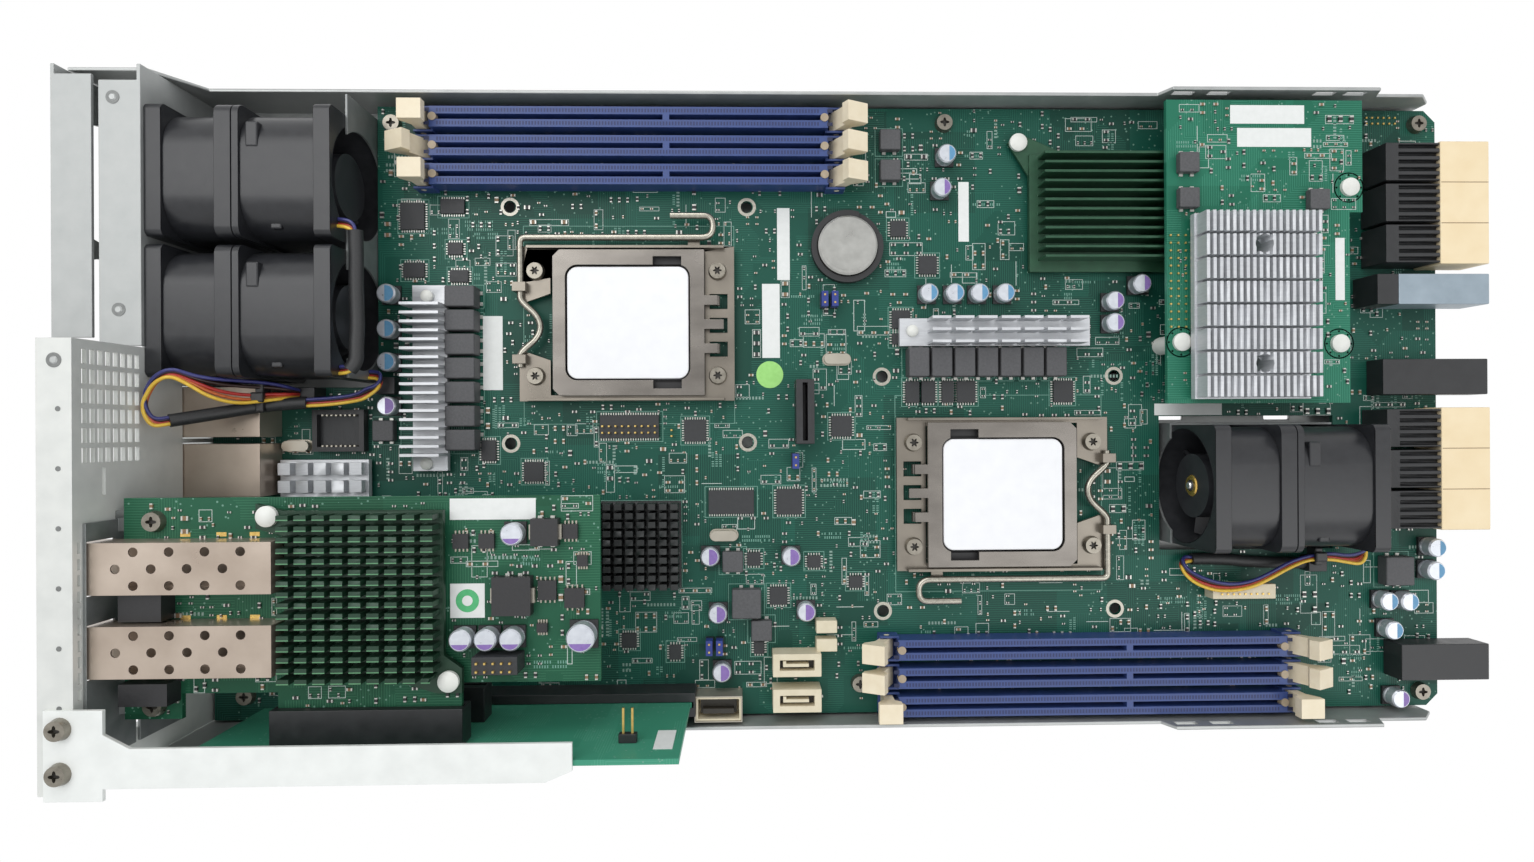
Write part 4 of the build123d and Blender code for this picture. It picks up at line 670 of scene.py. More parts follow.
def scatter(name, board, groups, seed):
    """Rows of small parts wherever the board is bare."""
    carrier, low, high, seat = board
    dice = random.Random(seed)
    boxes = []
    ink = []
    taken = set()
    cell = 1.3 * mm
    part_gap = 0.6 * mm
    margin = 3 * mm
    line = 0.16 * mm
    for _ in range(groups):
        x = dice.uniform(low.x + margin, high.x - margin)
        y = dice.uniform(low.y + margin, high.y - margin)
        choice = dice.choice(part_sizes[:2] if dice.random() < 0.85 else part_sizes)
        length, width, height = [size * mm for size in choice]
        turned = dice.random() < 0.5
        body_kind = dice.choice((0, 1, 1))
        step_x = (width if turned else length) + part_gap
        step_y = (length if turned else width) + part_gap
        rows = dice.choice((1, 1, 1, 2, 2, 3))
        columns = dice.choice((1, 2, 2, 3, 4, 5))
        if dice.random() < 0.5:
            rows, columns = columns, rows
        placed = 0
        for row in range(rows):
            for column in range(columns):
                px = x + column * step_x
                py = y + row * step_y
                key = {(round((px + a * step_x / 2) / cell), round((py + b * step_y / 2) / cell))
                       for a in (-1, 0, 1) for b in (-1, 0, 1)}
                if key & taken or not free_spot(px, py, step_x / 2, step_y / 2, seat, carrier):
                    continue
                taken |= key
                small_part(boxes, px, py, length, width, height, seat, turned, body_kind)
                placed += 1
        if placed > 1 and dice.random() < 0.6:
            x0 = x - step_x / 2 - line
            x1 = x + (columns - 0.5) * step_x + line
            y0 = y - step_y / 2 - line
            y1 = y + (rows - 0.5) * step_y + line
            if free_spot((x0 + x1) / 2, (y0 + y1) / 2, (x1 - x0) / 2, (y1 - y0) / 2, seat, carrier):
                print_frame(ink, x0, y0, x1, y1, seat, line)
    linked(name, many_blocks(boxes), [tan_body, black_body, tinned])
    linked(name + "_outlines", many_blocks(ink), white_ink)


scatter("board_small_parts", main_board, 3000, 11)
scatter("network_small_parts", network_board, 420, 5)
scatter("storage_small_parts", storage_board, 260, 3)


# Screen printing and bare pads: white ink lines round the packages and rows of short strokes
# beside them, and empty tinned footprints for parts that this model of board goes without.
pad_tin = finish("pad_tin", (150, 176, 164), (110, 140, 128), 1800, 0.5)
dim_ink = finish("dim_ink", (132, 178, 162), (92, 140, 124), 1800, 0.6)


def printing(name, board, groups, seed):
    """Frames, rows of strokes, long rules and empty footprints wherever the board is bare."""
    carrier, low, high, seat = board
    dice = random.Random(seed)
    ink = []
    top = seat + print_thick
    line = 0.2 * mm
    for _ in range(groups):
        x = dice.uniform(low.x + 4 * mm, high.x - 4 * mm)
        y = dice.uniform(low.y + 4 * mm, high.y - 4 * mm)
        kind = dice.choice(("frame", "strokes", "strokes", "strokes", "rule", "pads", "pads"))
        turned = dice.random() < 0.5
        long = dice.uniform(3, 11) * mm
        short = dice.uniform(1.4, 4.5) * mm
        half_x, half_y = (short / 2, long / 2) if turned else (long / 2, short / 2)
        if not free_spot(x, y, half_x, half_y, seat, carrier, 3 * mm):
            continue
        if kind == "frame":
            print_frame(ink, x - half_x, y - half_y, x + half_x, y + half_y, seat, line)
        elif kind == "rule":
            reach_x, reach_y = (line / 2, half_y) if turned else (half_x, line / 2)
            ink.append(((x - reach_x, y - reach_y, seat), (x + reach_x, y + reach_y, top), 0))
        else:
            strokes = kind == "strokes"
            pitch_long, pitch_short = (0.75 * mm, 1.3 * mm) if strokes else (1.1 * mm, 1.9 * mm)
            size_long, size_short = (0.32 * mm, 0.85 * mm) if strokes else (0.6 * mm, 1.0 * mm)
            for a in range(int(long / pitch_long)):
                for b in range(max(1, int(short / pitch_short))):
                    if strokes and dice.random() < 0.16:
                        continue
                    u = a * pitch_long - long / 2
                    v = b * pitch_short - short / 2
                    if turned:
                        u, v, size_x, size_y = v, u, size_short, size_long
                    else:
                        size_x, size_y = size_long, size_short
                    corner = (x + u + size_x, y + v + size_y, top)
                    ink.append(((x + u, y + v, seat), corner, 1 if strokes else 2))
    linked(name, many_blocks(ink), [white_ink, dim_ink, pad_tin])


printing("board_printing", main_board, 620, 21)
printing("network_printing", network_board, 60, 22)
printing("storage_printing", storage_board, 70, 23)
outlines = []
for node in ("chip_packages", "power_inductors", "cpu_socket_bodies"):
    for low, high in parts_of(node):
        if abs(low.z - board_face) < 0.5 * mm:
            gap = 11 * mm if node == "cpu_socket_bodies" else 1.3 * mm
            print_frame(outlines, low.x - gap, low.y - gap, high.x + gap, high.y + gap, board_face, 0.2 * mm)
linked("package_outlines", many_blocks(outlines), dim_ink)


# Tinned rings round the bolt holes, and the printed rings round the card's nylon screws.
def washer(shape, x, y, inner, outer, low, high, index=0):
    """A flat ring."""
    before = set(shape.faces)
    made = []
    for radius in (inner, outer):
        made += bmesh.ops.create_circle(shape, cap_ends=False, segments=32, radius=radius)["verts"]
    edges = list({edge for vert in made for edge in vert.link_edges})
    flat = bmesh.ops.bridge_loops(shape, edges=edges)["faces"]
    raised = bmesh.ops.extrude_face_region(shape, geom=flat)["geom"]
    upper = [item for item in raised if isinstance(item, bmesh.types.BMVert)]
    bmesh.ops.translate(shape, verts=upper, vec=(0, 0, high - low))
    bmesh.ops.translate(shape, verts=made + upper, vec=(x, y, low))
    for face in set(shape.faces) - before:
        face.material_index = index


def middle(low, high):
    return (low.x + high.x) / 2, (low.y + high.y) / 2


bright_tin = finish("bright_tin", (196, 192, 180), (140, 136, 126), 1500, 0.35, metal=0.6)
cooler_reach = 40 * mm
rings = bmesh.new()
for node in ("load_plate_a", "load_plate_b"):
    low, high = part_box(node)
    for pair in parts_of("cpu_socket_bodies"):
        x, y = middle(*pair)
        if low.x - 20 * mm < x < high.x + 20 * mm and low.y < y < high.y:
            for hole_x in (x - cooler_reach, x + cooler_reach):
                for hole_y in (y - cooler_reach, y + cooler_reach):
                    washer(rings, hole_x, hole_y, 2.1 * mm, 3.1 * mm, board_face, board_face + 0.08 * mm)
for low, high in parts_of("nylon_fasteners"):
    x, y = middle(low, high)
    if abs(high.z - storage_face) < 3 * mm and x > storage_board[1].x:
        washer(rings, x, y, 4.6 * mm, 5.0 * mm, storage_face, storage_face + print_thick, 1)
        for step in range(8):
            turn = step * math.pi / 4
            post(rings, x + 4.1 * mm * math.cos(turn), y + 4.1 * mm * math.sin(turn), 0.35 * mm,
                 storage_face, storage_face + print_thick, 1, 10)
linked("hole_rings", rings, [bright_tin, white_ink])


# Paper labels, left blank: thin matt white stickers with square-cut edges on the boards, one
# printed with a plain green disc.
paper = finish("label_paper", (240, 241, 238), (224, 226, 222), 500, 0.7, relief=0.03)
disc_green = finish("label_green", (96, 196, 132), (70, 168, 106), 700, 0.6)
lime = finish("label_lime", (176, 232, 140), (140, 206, 104), 700, 0.6)
label_thick = 0.1 * mm
labels = bmesh.new()
seats = {"board": board_face, "storage": storage_face, "network": network_face}
for x0, y0, x1, y1, carrier in label_places:
    if carrier in seats:
        seat = seats[carrier]
        block(labels, (x0 * mm, y0 * mm, seat), (x1 * mm, y1 * mm, seat + label_thick), 0)
for x, y, radius, low, high, index, segments in (
    (-100.1, -54.9, 3.3, network_face + label_thick, network_face + 1.4 * label_thick, 1, 32),
    (-100.1, -54.9, 1.5, network_face + 1.4 * label_thick, network_face + 1.8 * label_thick, 0, 24),
    (-12.2, 12.3, 4.6, board_face, board_face + label_thick, 2, 32),
):
    post(labels, x * mm, y * mm, radius * mm, low, high, index, segments)
ease(labels, labels.edges[:], 0.03, 1)
linked("labels", labels, [paper, disc_green, lime])


# Clock crystals, setting jumpers, pin headers and the socketed firmware chip: drawn steel cans,
# blue caps on gold pins, and black mouldings with gold pins at a 2 mm pitch.
crystal_steel = finish("crystal_steel", (190, 184, 170), (160, 154, 142), 90, 0.3, metal=0.6)
jumper_blue = finish("jumper_blue", (48, 66, 150), (30, 44, 110), 600, 0.4)
pin_gold = finish("pin_gold", (224, 196, 120), (176, 142, 74), 900, 0.3, metal=0.75)
small_works = bmesh.new()


def pill(shape, x, y, half_x, half_y, low, high):
    """A can with round ends, in millimetres."""
    made = brick(shape, x - half_x, y - half_y, low, x + half_x, y + half_y, high)
    upright = [edge for edge in {e for v in made for e in v.link_edges}
               if abs(edge.verts[0].co.z - edge.verts[1].co.z) > 0.5 * (high - low) * mm]
    ease(shape, upright, 0.98 * half_y, 6)


deck = board_face / mm
card = network_face / mm
pin_half = 0.28
# clock crystals
for x, y in ((-170.3, -11.1), (10.6, 17.4), (-28.0, -42.1)):
    pill(small_works, x, y, 4.9, 2.1, deck, deck + 0.5)
    pill(small_works, x, y, 4.4, 1.7, deck + 0.5, deck + 3.2)
# setting jumpers, one or two side by side
for x, y, count in ((7.9, 37.3, 2), (-3.8, -17.0, 1), (-31.3, -79.1, 2)):
    for step in range(count):
        x0 = x + 3.4 * (step - (count - 1) / 2) - 1.3
        y0 = y - 2.6
        brick(small_works, x0, y0, deck, x0 + 2.6, y0 + 5.2, deck + 2.2, 2)
        brick(small_works, x0 + 0.2, y0 + 0.1, deck + 2.2, x0 + 2.4, y0 + 5.1, deck + 6.4, 1)
        for pin_y in (y0 + 1.0, y0 + 3.6):
            brick(small_works, x0 + 1.0, pin_y, deck + 6.4, x0 + 1.6, pin_y + 0.6, deck + 6.6, 3)
# pin headers and plated through holes
for x0, y0, columns, rows, pitch, seat, tall in (
    (-68.6, -7.2, 9, 2, 2.2, 11.2, 2.0), (-45.4, -8.4, 1, 2, 2.0, 10.0, 3.5),
    (194.6, 98.4, 6, 2, 2.0, 10.0, 0.5), (118.9, 26.6, 3, 13, 2.5, storage_face / mm, 0.6),
    (-95.1, -73.0, 5, 2, 2.3, 63.0, 0.9), (140.2, -62.8, 9, 1, 2.0, 15.6, 0.4),
):
    for step in range(columns * rows):
        x = x0 + step // rows * pitch
        y = y0 + step % rows * pitch
        brick(small_works, x - pin_half, y - pin_half, seat, x + pin_half, y + pin_half, seat + tall, 3)
# the firmware chip's socket
chip_socket = (-164.4, -13.0, -147.4, 0.9)
x0, y0, _, y1 = chip_socket
wall = 1.6
top = deck + 3.6
for a, b, c, d in four_sides(*chip_socket, wall):
    brick(small_works, a, b, deck, c, d, top, 2)
for step in range(8):
    x = x0 + 3.0 + step * 1.5
    for y in (y0 + wall, y1 - wall - 0.5):
        brick(small_works, x, y, deck + 1.2, x + 0.6, y + 0.5, top - 0.2)
# light guides beside the cages
for x0, y0, x1, y1 in ((-193.9, -58.8, -182.2, -51.4), (-194.0, -82.2, -180.7, -76.0)):
    brick(small_works, x0, y0, card, x1, y1, card + 6.0, 2)
# regulator chips on the network card, four leads a side
for x, y, half_x, half_y in (
    (-101.6, -37.8, 2.2, 2.1), (-94.3, -37.8, 2.2, 2.1), (-70.6, -35.2, 2.1, 2.1), (-77.2, -51.9, 2.6, 2.8),
    (-69.5, -54.2, 2.8, 2.8), (-78.7, -62.6, 1.5, 1.3), (-67.2, -43.6, 1.5, 1.6),
):
    brick(small_works, x - half_x, y - half_y, card, x + half_x, y + half_y, card + 1.5, 2)
    for step in range(4):
        lead = x - half_x + (step + 0.5) * half_x / 2
        for y0 in (y - half_y - 0.9, y + half_y):
            brick(small_works, lead - 0.22, y0, card, lead + 0.22, y0 + 0.9, card + 0.5)
# gold pads at the cages' feet
for x in (-179.3, -169.2, -159.9):
    for y in (-35.4, -58.9):
        brick(small_works, x - 1.4, y - 0.6, card, x + 1.4, y + 0.6, card + 0.08, 3)
# the riser's two upright pins
riser_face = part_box("riser_board")[1].y / mm
for x in (-55.8, -53.2):
    brick(small_works, x - 0.32, riser_face + 2.6, 55.7, x + 0.32, riser_face + 9.8, 56.4, 3)
# black coils on the network card, tinned at both ends
for x0, y0, x1, y1 in ((-92.1, -58.5, -81.5, -47.9), (-81.2, -38.9, -73.8, -31.5)):
    sleeve = 0.15
    y = (y0 + y1) / 2
    brick(small_works, x0 - sleeve, y0 - sleeve, card, x1 + sleeve, y1 + sleeve, card + 3.8, 2)
    for a, b in both_ends(x0, x1, 0.9, -sleeve):
        brick(small_works, a, y - 2.1, card, b, y + 2.1, card + 2.2)
linked("small_works", small_works, [crystal_steel, jumper_blue, black_body, pin_gold])
riser_label = bmesh.new()
brick(riser_label, -46.8, riser_face, 47.0, -41.4, riser_face + label_thick / mm, 62.0)
linked("riser_label", riser_label, paper)


# Chip packages: black moulded epoxy with a dull top, gull-wing or flat leads round the rim,
# soldered to the board.
epoxy = finish("epoxy", (48, 50, 52), (30, 31, 34), 700, 0.5, relief=0.15)
rounded("chip_packages", epoxy, 0.15)
leads = []
lead_pitch = 0.8 * mm
lead_reach = 0.8 * mm
lead_bite = 0.1 * mm
lead_half = 0.18 * mm
for low, high in parts_of("chip_packages"):
    if high.z - low.z > 1.5 * mm:
        continue
    size = high - low
    seat, top = low.z, low.z + 0.35 * mm
    count_x, count_y = int(size.x / lead_pitch), int(size.y / lead_pitch)
    for step in range(count_x):
        x = low.x + (step + 0.5) * size.x / count_x
        for y0, y1 in both_ends(low.y, high.y, lead_reach, lead_bite):
            leads.append(((x - lead_half, y0, seat), (x + lead_half, y1, top), 0))
    for step in range(count_y if size.x < 1.6 * size.y else 0):
        y = low.y + (step + 0.5) * size.y / count_y
        for x0, x1 in both_ends(low.x, high.x, lead_reach, lead_bite):
            leads.append(((x0, y - lead_half, seat), (x1, y + lead_half, top), 0))
linked("chip_leads", many_blocks(leads), tinned)


# Power inductors: pressed grey powder blocks with flat tinned ends, in a row beside each
# processor's regulator.
powder = finish("pressed_powder", (96, 96, 98), (60, 60, 62), 1400, 0.6, relief=0.2)
rounded("power_inductors", powder, 0.5, 2)
terminals = bmesh.new()
terminal_half = 0.6 * mm
for low, high in parts_of("power_inductors"):
    x, y = middle(low, high)
    top = low.z + 0.6 * mm
    for side in (-1.8 * mm, 1.8 * mm):
        if high.x - low.x > 1.2 * (high.y - low.y):
            for x0, x1 in both_ends(low.x, high.x, 0.9 * mm):
                block(terminals, (x0, y + side - terminal_half, low.z), (x1, y + side + terminal_half, top))
        else:
            for y0, y1 in both_ends(low.y, high.y, 0.8 * mm):
                block(terminals, (x + side - terminal_half, y0, low.z), (x + side + terminal_half, y1, top))
linked("inductor_terminals", terminals, tinned)


# Polymer capacitors: bright aluminium cans on a black foot, with a crimped waist and a
# coloured half circle printed on top.
can_metal = finish("can_metal", (222, 226, 232), (186, 190, 198), 500, 0.3, metal=0.55)
can_blue = finish("can_mark_blue", (112, 166, 200), (78, 134, 176), 900, 0.4)
can_violet = finish("can_mark_violet", (150, 122, 186), (116, 88, 158), 900, 0.4)
foot_black = finish("foot_black", (40, 40, 42), (24, 24, 26), 900, 0.5)
cans = bmesh.new()
for number, (low, high) in enumerate(parts_of("capacitors")):
    x, y, radius = upright_round(low, high)
    foot = low.z + 1.0 * mm
    block(cans, (low.x, low.y, low.z), (high.x, high.y, foot), 3)
    profile = [
        (radius * 0.97, foot), (radius * 0.97, foot + 0.6 * mm), (radius * 0.9, foot + 0.9 * mm),
        (radius, foot + 1.3 * mm), (radius, high.z - 0.5 * mm), (radius - 0.4 * mm, high.z),
    ]
    for (r0, z0), (r1, z1) in zip(profile, profile[1:]):
        post(cans, x, y, r0, z0, z1, 0, 28, r1, z1 == high.z)
    mark = bmesh.ops.create_circle(cans, cap_ends=True, segments=28, radius=radius - 0.55 * mm,
                                   matrix=Matrix.Translation((x, y, high.z + 0.02 * mm)))["verts"]
    on_card = low.z > 30 * mm
    violet = (on_card or (-40 * mm < x < 10 * mm and y < -40 * mm) or (x > 99 * mm and y > 25 * mm)
              or number % 5 == 0)
    edge = x + (0.2 if x > 0 else -0.1) * radius
    for vert in mark:
        if on_card:
            vert.co.y = min(vert.co.y, y - 0.35 * radius)
        else:
            vert.co.x = max(vert.co.x, edge)
    tint(mark, 2 if violet else 1)
bmesh.ops.remove_doubles(cans, verts=cans.verts, dist=0.001 * mm)
can_paints = [can_metal, can_blue, can_violet, foot_black]
capacitor_cans = linked("capacitor_cans", cans, can_paints)
smooth(capacitor_cans)
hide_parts("capacitors")


# Fans: three dual counter-rotating blowers 40 mm square. Each is two moulded frames clipped end
# to end: square flanges, a barrel with rounded corners, a longer rear half, and lugs for the clip.
fan_plastic = finish("fan_plastic", (46, 47, 50), (29, 30, 33), 380, 0.32, relief=0.08, gloss=0.45)
rotor_plastic = finish("rotor_plastic", (58, 59, 62), (32, 33, 36), 380, 0.4)
brass = finish("hub_brass", (236, 200, 110), (176, 134, 60), 700, 0.25, metal=0.8)
shaft_steel = finish("shaft_steel", (230, 230, 228), (180, 180, 178), 700, 0.2, metal=0.8)
fan_bore = 18.9 * mm
# start, end, half side and corner of each length along the fan, in millimetres
fan_sections = (
    (0.0, 5.0, 20.0, 2.0), (5.0, 20.6, 19.3, 12.0), (20.6, 25.5, 20.0, 3.0), (25.5, 25.8, 19.6, 3.0),
    (25.8, 27.8, 20.0, 3.0), (27.8, 50.0, 19.3, 12.0), (50.0, 55.0, 20.0, 2.0),
)
# x0, x1, y0, y1 and drop below the flange; then radius, tip, back, front and paint
fan_lugs = ((29.6, 33.4, 6.9, 14.6, 0.6), (28.2, 29.2, 8.0, 11.0, 1.4), (35.0, 38.5, -17.0, -13.6, 4.2))
hub_paints = [brass, shaft_steel, rotor_plastic]
hub_steps = ((3.6, 3.2, 0.1, 0.5, 0), (1.9, 1.7, 0.5, 0.9, 2), (1.3, 1.1, 0.9, 1.4, 1))


def frame_section(shape, start, end, half, corner, place):
    """One length of a fan frame: a square with round corners outside and a round bore."""
    piece = bmesh.new()
    bmesh.ops.create_grid(piece, x_segments=1, y_segments=1, size=half)
    bmesh.ops.bevel(piece, geom=piece.verts[:], offset=corner, offset_type="OFFSET", segments=8,
                    profile=0.5, affect="VERTICES", material=-1)
    bmesh.ops.delete(piece, geom=piece.faces[:], context="FACES_ONLY")
    bmesh.ops.create_circle(piece, cap_ends=False, segments=len(piece.verts), radius=fan_bore)
    wall = bmesh.ops.bridge_loops(piece, edges=piece.edges[:])["faces"]
    far = bmesh.ops.extrude_face_region(piece, geom=wall)["geom"]
    moved = [item for item in far if isinstance(item, bmesh.types.BMVert)]
    bmesh.ops.translate(piece, verts=moved, vec=(0, 0, end - start))
    turn = Matrix.Rotation(math.radians(90), 4, "Y")
    bmesh.ops.transform(piece, matrix=place @ Matrix.Translation((start, 0, 0)) @ turn, verts=piece.verts)
    store = bpy.data.meshes.new("section")
    piece.to_mesh(store)
    piece.free()
    shape.from_mesh(store)
    bpy.data.meshes.remove(store)


for number in (1, 2, 3):
    name = "fan_" + str(number)
    paint(name + "_rotor_a", rotor_plastic)
    paint(name + "_rotor_b", rotor_plastic)
    low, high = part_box(name + "_housing")
    middle_y = (low.y + high.y) / 2
    middle_z = (low.z + high.z) / 2
    centre = Matrix.Translation((low.x, middle_y, middle_z))
    shell = bmesh.new()
    for start, end, half, corner in fan_sections:
        frame_section(shell, start * mm, end * mm, half * mm, corner * mm, centre)
    shell_piece = linked(name + "_frame", shell, fan_plastic)
    smooth(shell_piece, 40)
    soften(shell_piece, 0.5, 2, 50)
    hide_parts(name + "_housing")
    core = merged_copy(name + "_housing")
    outside = [face for face in core.faces
               if max(math.hypot(v.co.y - middle_y, v.co.z - middle_z) for v in face.verts) > fan_bore]
    bmesh.ops.delete(core, geom=outside, context="FACES")
    core_piece = linked(name + "_stator", core, rotor_plastic)
    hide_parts(name + "_housing")
    trim = bmesh.new()
    top = high.z - 0.7 * mm
    for x0, x1, y0, y1, drop in fan_lugs:
        block(trim, (low.x + x0 * mm, middle_y + y0 * mm, top - (drop + 3.0) * mm),
              (low.x + x1 * mm, middle_y + y1 * mm, top - (drop - 0.9) * mm))
    soften(linked(name + "_lugs", trim, fan_plastic), 0.5, 2, 30, False)
    face_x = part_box(name + "_rotor_a")[0].x
    cap = bmesh.new()
    turn = Matrix.Rotation(math.radians(-90), 4, "Y")
    for radius, tip, back, front, index in hub_steps:
        spot = Matrix.Translation((face_x - (back + front) / 2 * mm, middle_y, middle_z))
        tint(bmesh.ops.create_cone(cap, cap_ends=True, segments=32, radius1=radius * mm, radius2=tip * mm,
                                   depth=(front - back) * mm, matrix=spot @ turn)["verts"], index)
    linked(name + "_hub_cap", cap, hub_paints, "body_" + name + "_rotor_a")


# Memory sockets: six long blue mouldings with a slot and a key, a row of contact pockets down
# each rail drawn as flat marks of painted shade, and an ivory latch pinned in each end.
socket_blue = finish("socket_blue", (58, 80, 138), (40, 58, 110), 300, 0.42)
# painted shade: the dark of the contact pockets, and of the holes near each socket end
pocket_painted_shade = finish("pocket_painted_shade", (36, 48, 100), (22, 30, 70), 1800, 0.5)
slot_painted_shade = finish("slot_painted_shade", (30, 38, 76), (18, 24, 50), 900, 0.6)
ivory = finish("latch_ivory", (246, 234, 208), (228, 212, 180), 300, 0.45)
latch_shade = finish("latch_shade", (188, 172, 148), (146, 130, 108), 500, 0.5)
rounded("dimm_sockets", socket_blue, 0.2)
for number in range(1, 13):
    rounded("dimm_latch_" + str(number).zfill(2), ivory, 0.45, 2)
pocket_shade_marks = []
clips = bmesh.new()
pocket_pitch = 1.0 * mm
rail_middle = 2.1 * mm
socket_end = 8.4 * mm
for low, high in parts_of("dimm_sockets"):
    row_y = (low.y + high.y) / 2
    start = low.x + socket_end
    for step in range(int((high.x - low.x - 2 * socket_end) / pocket_pitch)):
        x = start + step * pocket_pitch
        for y in (row_y - rail_middle, row_y + rail_middle):
            pocket_shade_marks.append(((x, y - 0.6 * mm, high.z), (x + 0.5 * mm, y + 0.6 * mm, high.z + 0.04 * mm), 0))
    for x in (low.x + 7.0 * mm, high.x - 7.0 * mm):
        post(clips, x, row_y, 1.35 * mm, high.z - 2.0 * mm, high.z + 0.3 * mm, 0, 20)
    for x in (low.x + 5.2 * mm, high.x - 5.2 * mm):
        for y in (row_y - 2.2 * mm, row_y + 2.2 * mm):
            pocket_shade_marks.append(((x - 0.9 * mm, y - 0.6 * mm, high.z),
                            (x + 0.9 * mm, y + 0.6 * mm, high.z + 0.05 * mm), 1))
linked("socket_pocket_shade", many_blocks(pocket_shade_marks), [pocket_painted_shade, slot_painted_shade])
linked("socket_clips", clips, latch_shade)


# Processor sockets: a stamped stainless frame on four screws, a black contact body, a hinged load
# plate held by a sprung wire lever, and a white cap over the contacts.
stamped = finish("stamped_stainless", (142, 137, 131), (88, 84, 80), 55, 0.26, metal=0.85,
                 relief=0.03, stretch=(1, 2, 1))
frame_steel = finish("frame_steel", (148, 141, 130), (98, 93, 86), 70, 0.3, metal=0.8, relief=0.03)
wire_steel = finish("wire_steel", (184, 180, 168), (130, 126, 116), 900, 0.25, metal=0.85)
cap_white = finish("cap_white", (252, 252, 252), (240, 240, 242), 200, 0.5, relief=0.02)
socket_black = finish("socket_black", (40, 40, 42), (22, 22, 24), 500, 0.5)
socket_frames = rounded("ilm_frames", frame_steel, 0.15)
socket_frames.modifiers["edges"].harden_normals = False
socket_frames.data.polygons.foreach_set("use_smooth", [False] * len(socket_frames.data.polygons))
# bends of the lever's wire in millimetres from its outer corner
lever_bends = (
    (1.1, -51.5), (1.1, -49.0), (1.1, -46.5), (7.7, -41.2), (7.7, -35.2), (1.1, -29.6), (1.1, -27.0),
    (1.1, -12.0), (1.1, -8.4), (5.0, -8.4), (20.0, -8.4), (57.0, -8.4), (65.2, -8.4), (65.2, -1.1),
    (59.0, -1.1), (51.0, -1.1),
)
lever_thick = 2.2 * mm
for side in ("a", "b"):
    rounded("load_plate_" + side, stamped, 0.25, 2)
    node = "load_lever_" + side
    low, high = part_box(node)
    flip = mm if side == "a" else -mm
    corner_x, corner_y = (low.x, high.y) if side == "a" else (high.x, low.y)
    bends = [(corner_x + flip * x, corner_y + flip * y, (low.z + high.z) / 2) for x, y in lever_bends]
    lever, _ = wire_along(node + "_rod", bends, lever_thick, wire_steel, 4, 10)
    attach(lever, "body_" + node)
    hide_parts(node)
paint("cpu_socket_bodies", socket_black)
rounded("socket_covers", cap_white, 0.4, 2)


# Screws: pan-head cross-recess screws in the board, cards and bar, star-recess screws in the
# socket frames, all nickel-plated, and plain steel posts under the board.
nickel = finish("nickel", (160, 155, 144), (104, 99, 90), 500, 0.3, metal=0.85)
# painted shade for the inside of the recesses, which are nickel like the heads
recess_painted_shade = finish("recess_painted_shade", (70, 68, 64), (44, 42, 40), 900, 0.5, metal=0.5)


def screw_head(shape, x, y, radius, low, high, arms):
    """A tapered head with a sunk recess of four or six arms, its faces in painted shade."""
    rim = post(shape, x, y, radius, low, high, 0, 24, radius * 0.86)
    faces = {face for vert in rim for face in vert.link_faces}
    pit = max(faces, key=lambda face: face.calc_center_median().z)
    bmesh.ops.inset_region(shape, faces=[pit], thickness=radius * 0.4)
    for vert in pit.verts:
        axis = Vector((x, y, vert.co.z))
        away = vert.co - axis
        vert.co = axis + away * (0.82 + 0.3 * math.cos(arms * math.atan2(away.y, away.x)))
    sunk = bmesh.ops.extrude_face_region(shape, geom=[pit])["geom"]
    bmesh.ops.delete(shape, geom=[pit], context="FACES_ONLY")
    for item in sunk:
        if isinstance(item, bmesh.types.BMVert):
            item.co.z -= 0.55 * (high - low)
        # the recess faces take the painted shade
        if isinstance(item, bmesh.types.BMFace):
            item.material_index = 1


heads = bmesh.new()
frame_screw_top = 15.5 * mm
for low, high in parts_of("fasteners"):
    x, y, radius = upright_round(low, high)
    if high.z - low.z > 5 * mm:
        post(heads, x, y, radius, low.z, high.z)
        continue
    star = abs(high.z - frame_screw_top) < 1 * mm
    screw_head(heads, x, y, radius, high.z - 2.0 * mm, high.z, 6 if star else 4)
screw_heads = linked("screw_heads", heads, [nickel, recess_painted_shade])
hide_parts("fasteners")


# Heatsinks: extruded aluminium, plain over the regulators and the storage card, green anodised
# over the bridge chip and the network chip, black over the controller.
bare_alloy = finish("bare_alloy", (218, 220, 222), (186, 188, 192), 240, 0.4, metal=0.35,
                    relief=0.05, stretch=(1, 8, 1))
green_alloy = finish("green_alloy", (50, 94, 68), (30, 64, 46), 240, 0.36, metal=0.3)
black_alloy = finish("black_alloy", (56, 58, 58), (32, 34, 34), 240, 0.42, metal=0.3)
rounded("board_heatsinks", bare_alloy, 0.12)
rounded("storage_card_heatsink", bare_alloy, 0.12)
rounded("chipset_heatsink", green_alloy, 0.15)
deep_green = finish("deep_green", (34, 68, 48), (20, 44, 32), 240, 0.4, metal=0.25)
# painted highlight: a lighter green strip along one edge of each fin's top, laid on below
fin_edge_highlight_green = finish("fin_edge_highlight_green", (104, 156, 116), (76, 124, 88), 240, 0.34, metal=0.3)
rounded("network_card_heatsink", deep_green, 0.12)
sink_shape = merged_copy("network_card_heatsink")
sink_top = max(vert.co.z for vert in sink_shape.verts)
highlight_strips = []
for face in sink_shape.faces:
    if face.normal.z > 0.9 and face.calc_center_median().z > sink_top - 0.1 * mm:
        x0, x1 = (pick(vert.co.x for vert in face.verts) for pick in (min, max))
        y0 = min(vert.co.y for vert in face.verts)
        highlight_strips.append(((x0, y0 + 0.1 * mm, sink_top), (x1, y0 + 0.4 * mm, sink_top + 0.03 * mm), 0))
sink_shape.free()
linked("fin_edge_painted_highlights", many_blocks(highlight_strips), fin_edge_highlight_green)
rounded("controller_heatsink", black_alloy, 0.12)


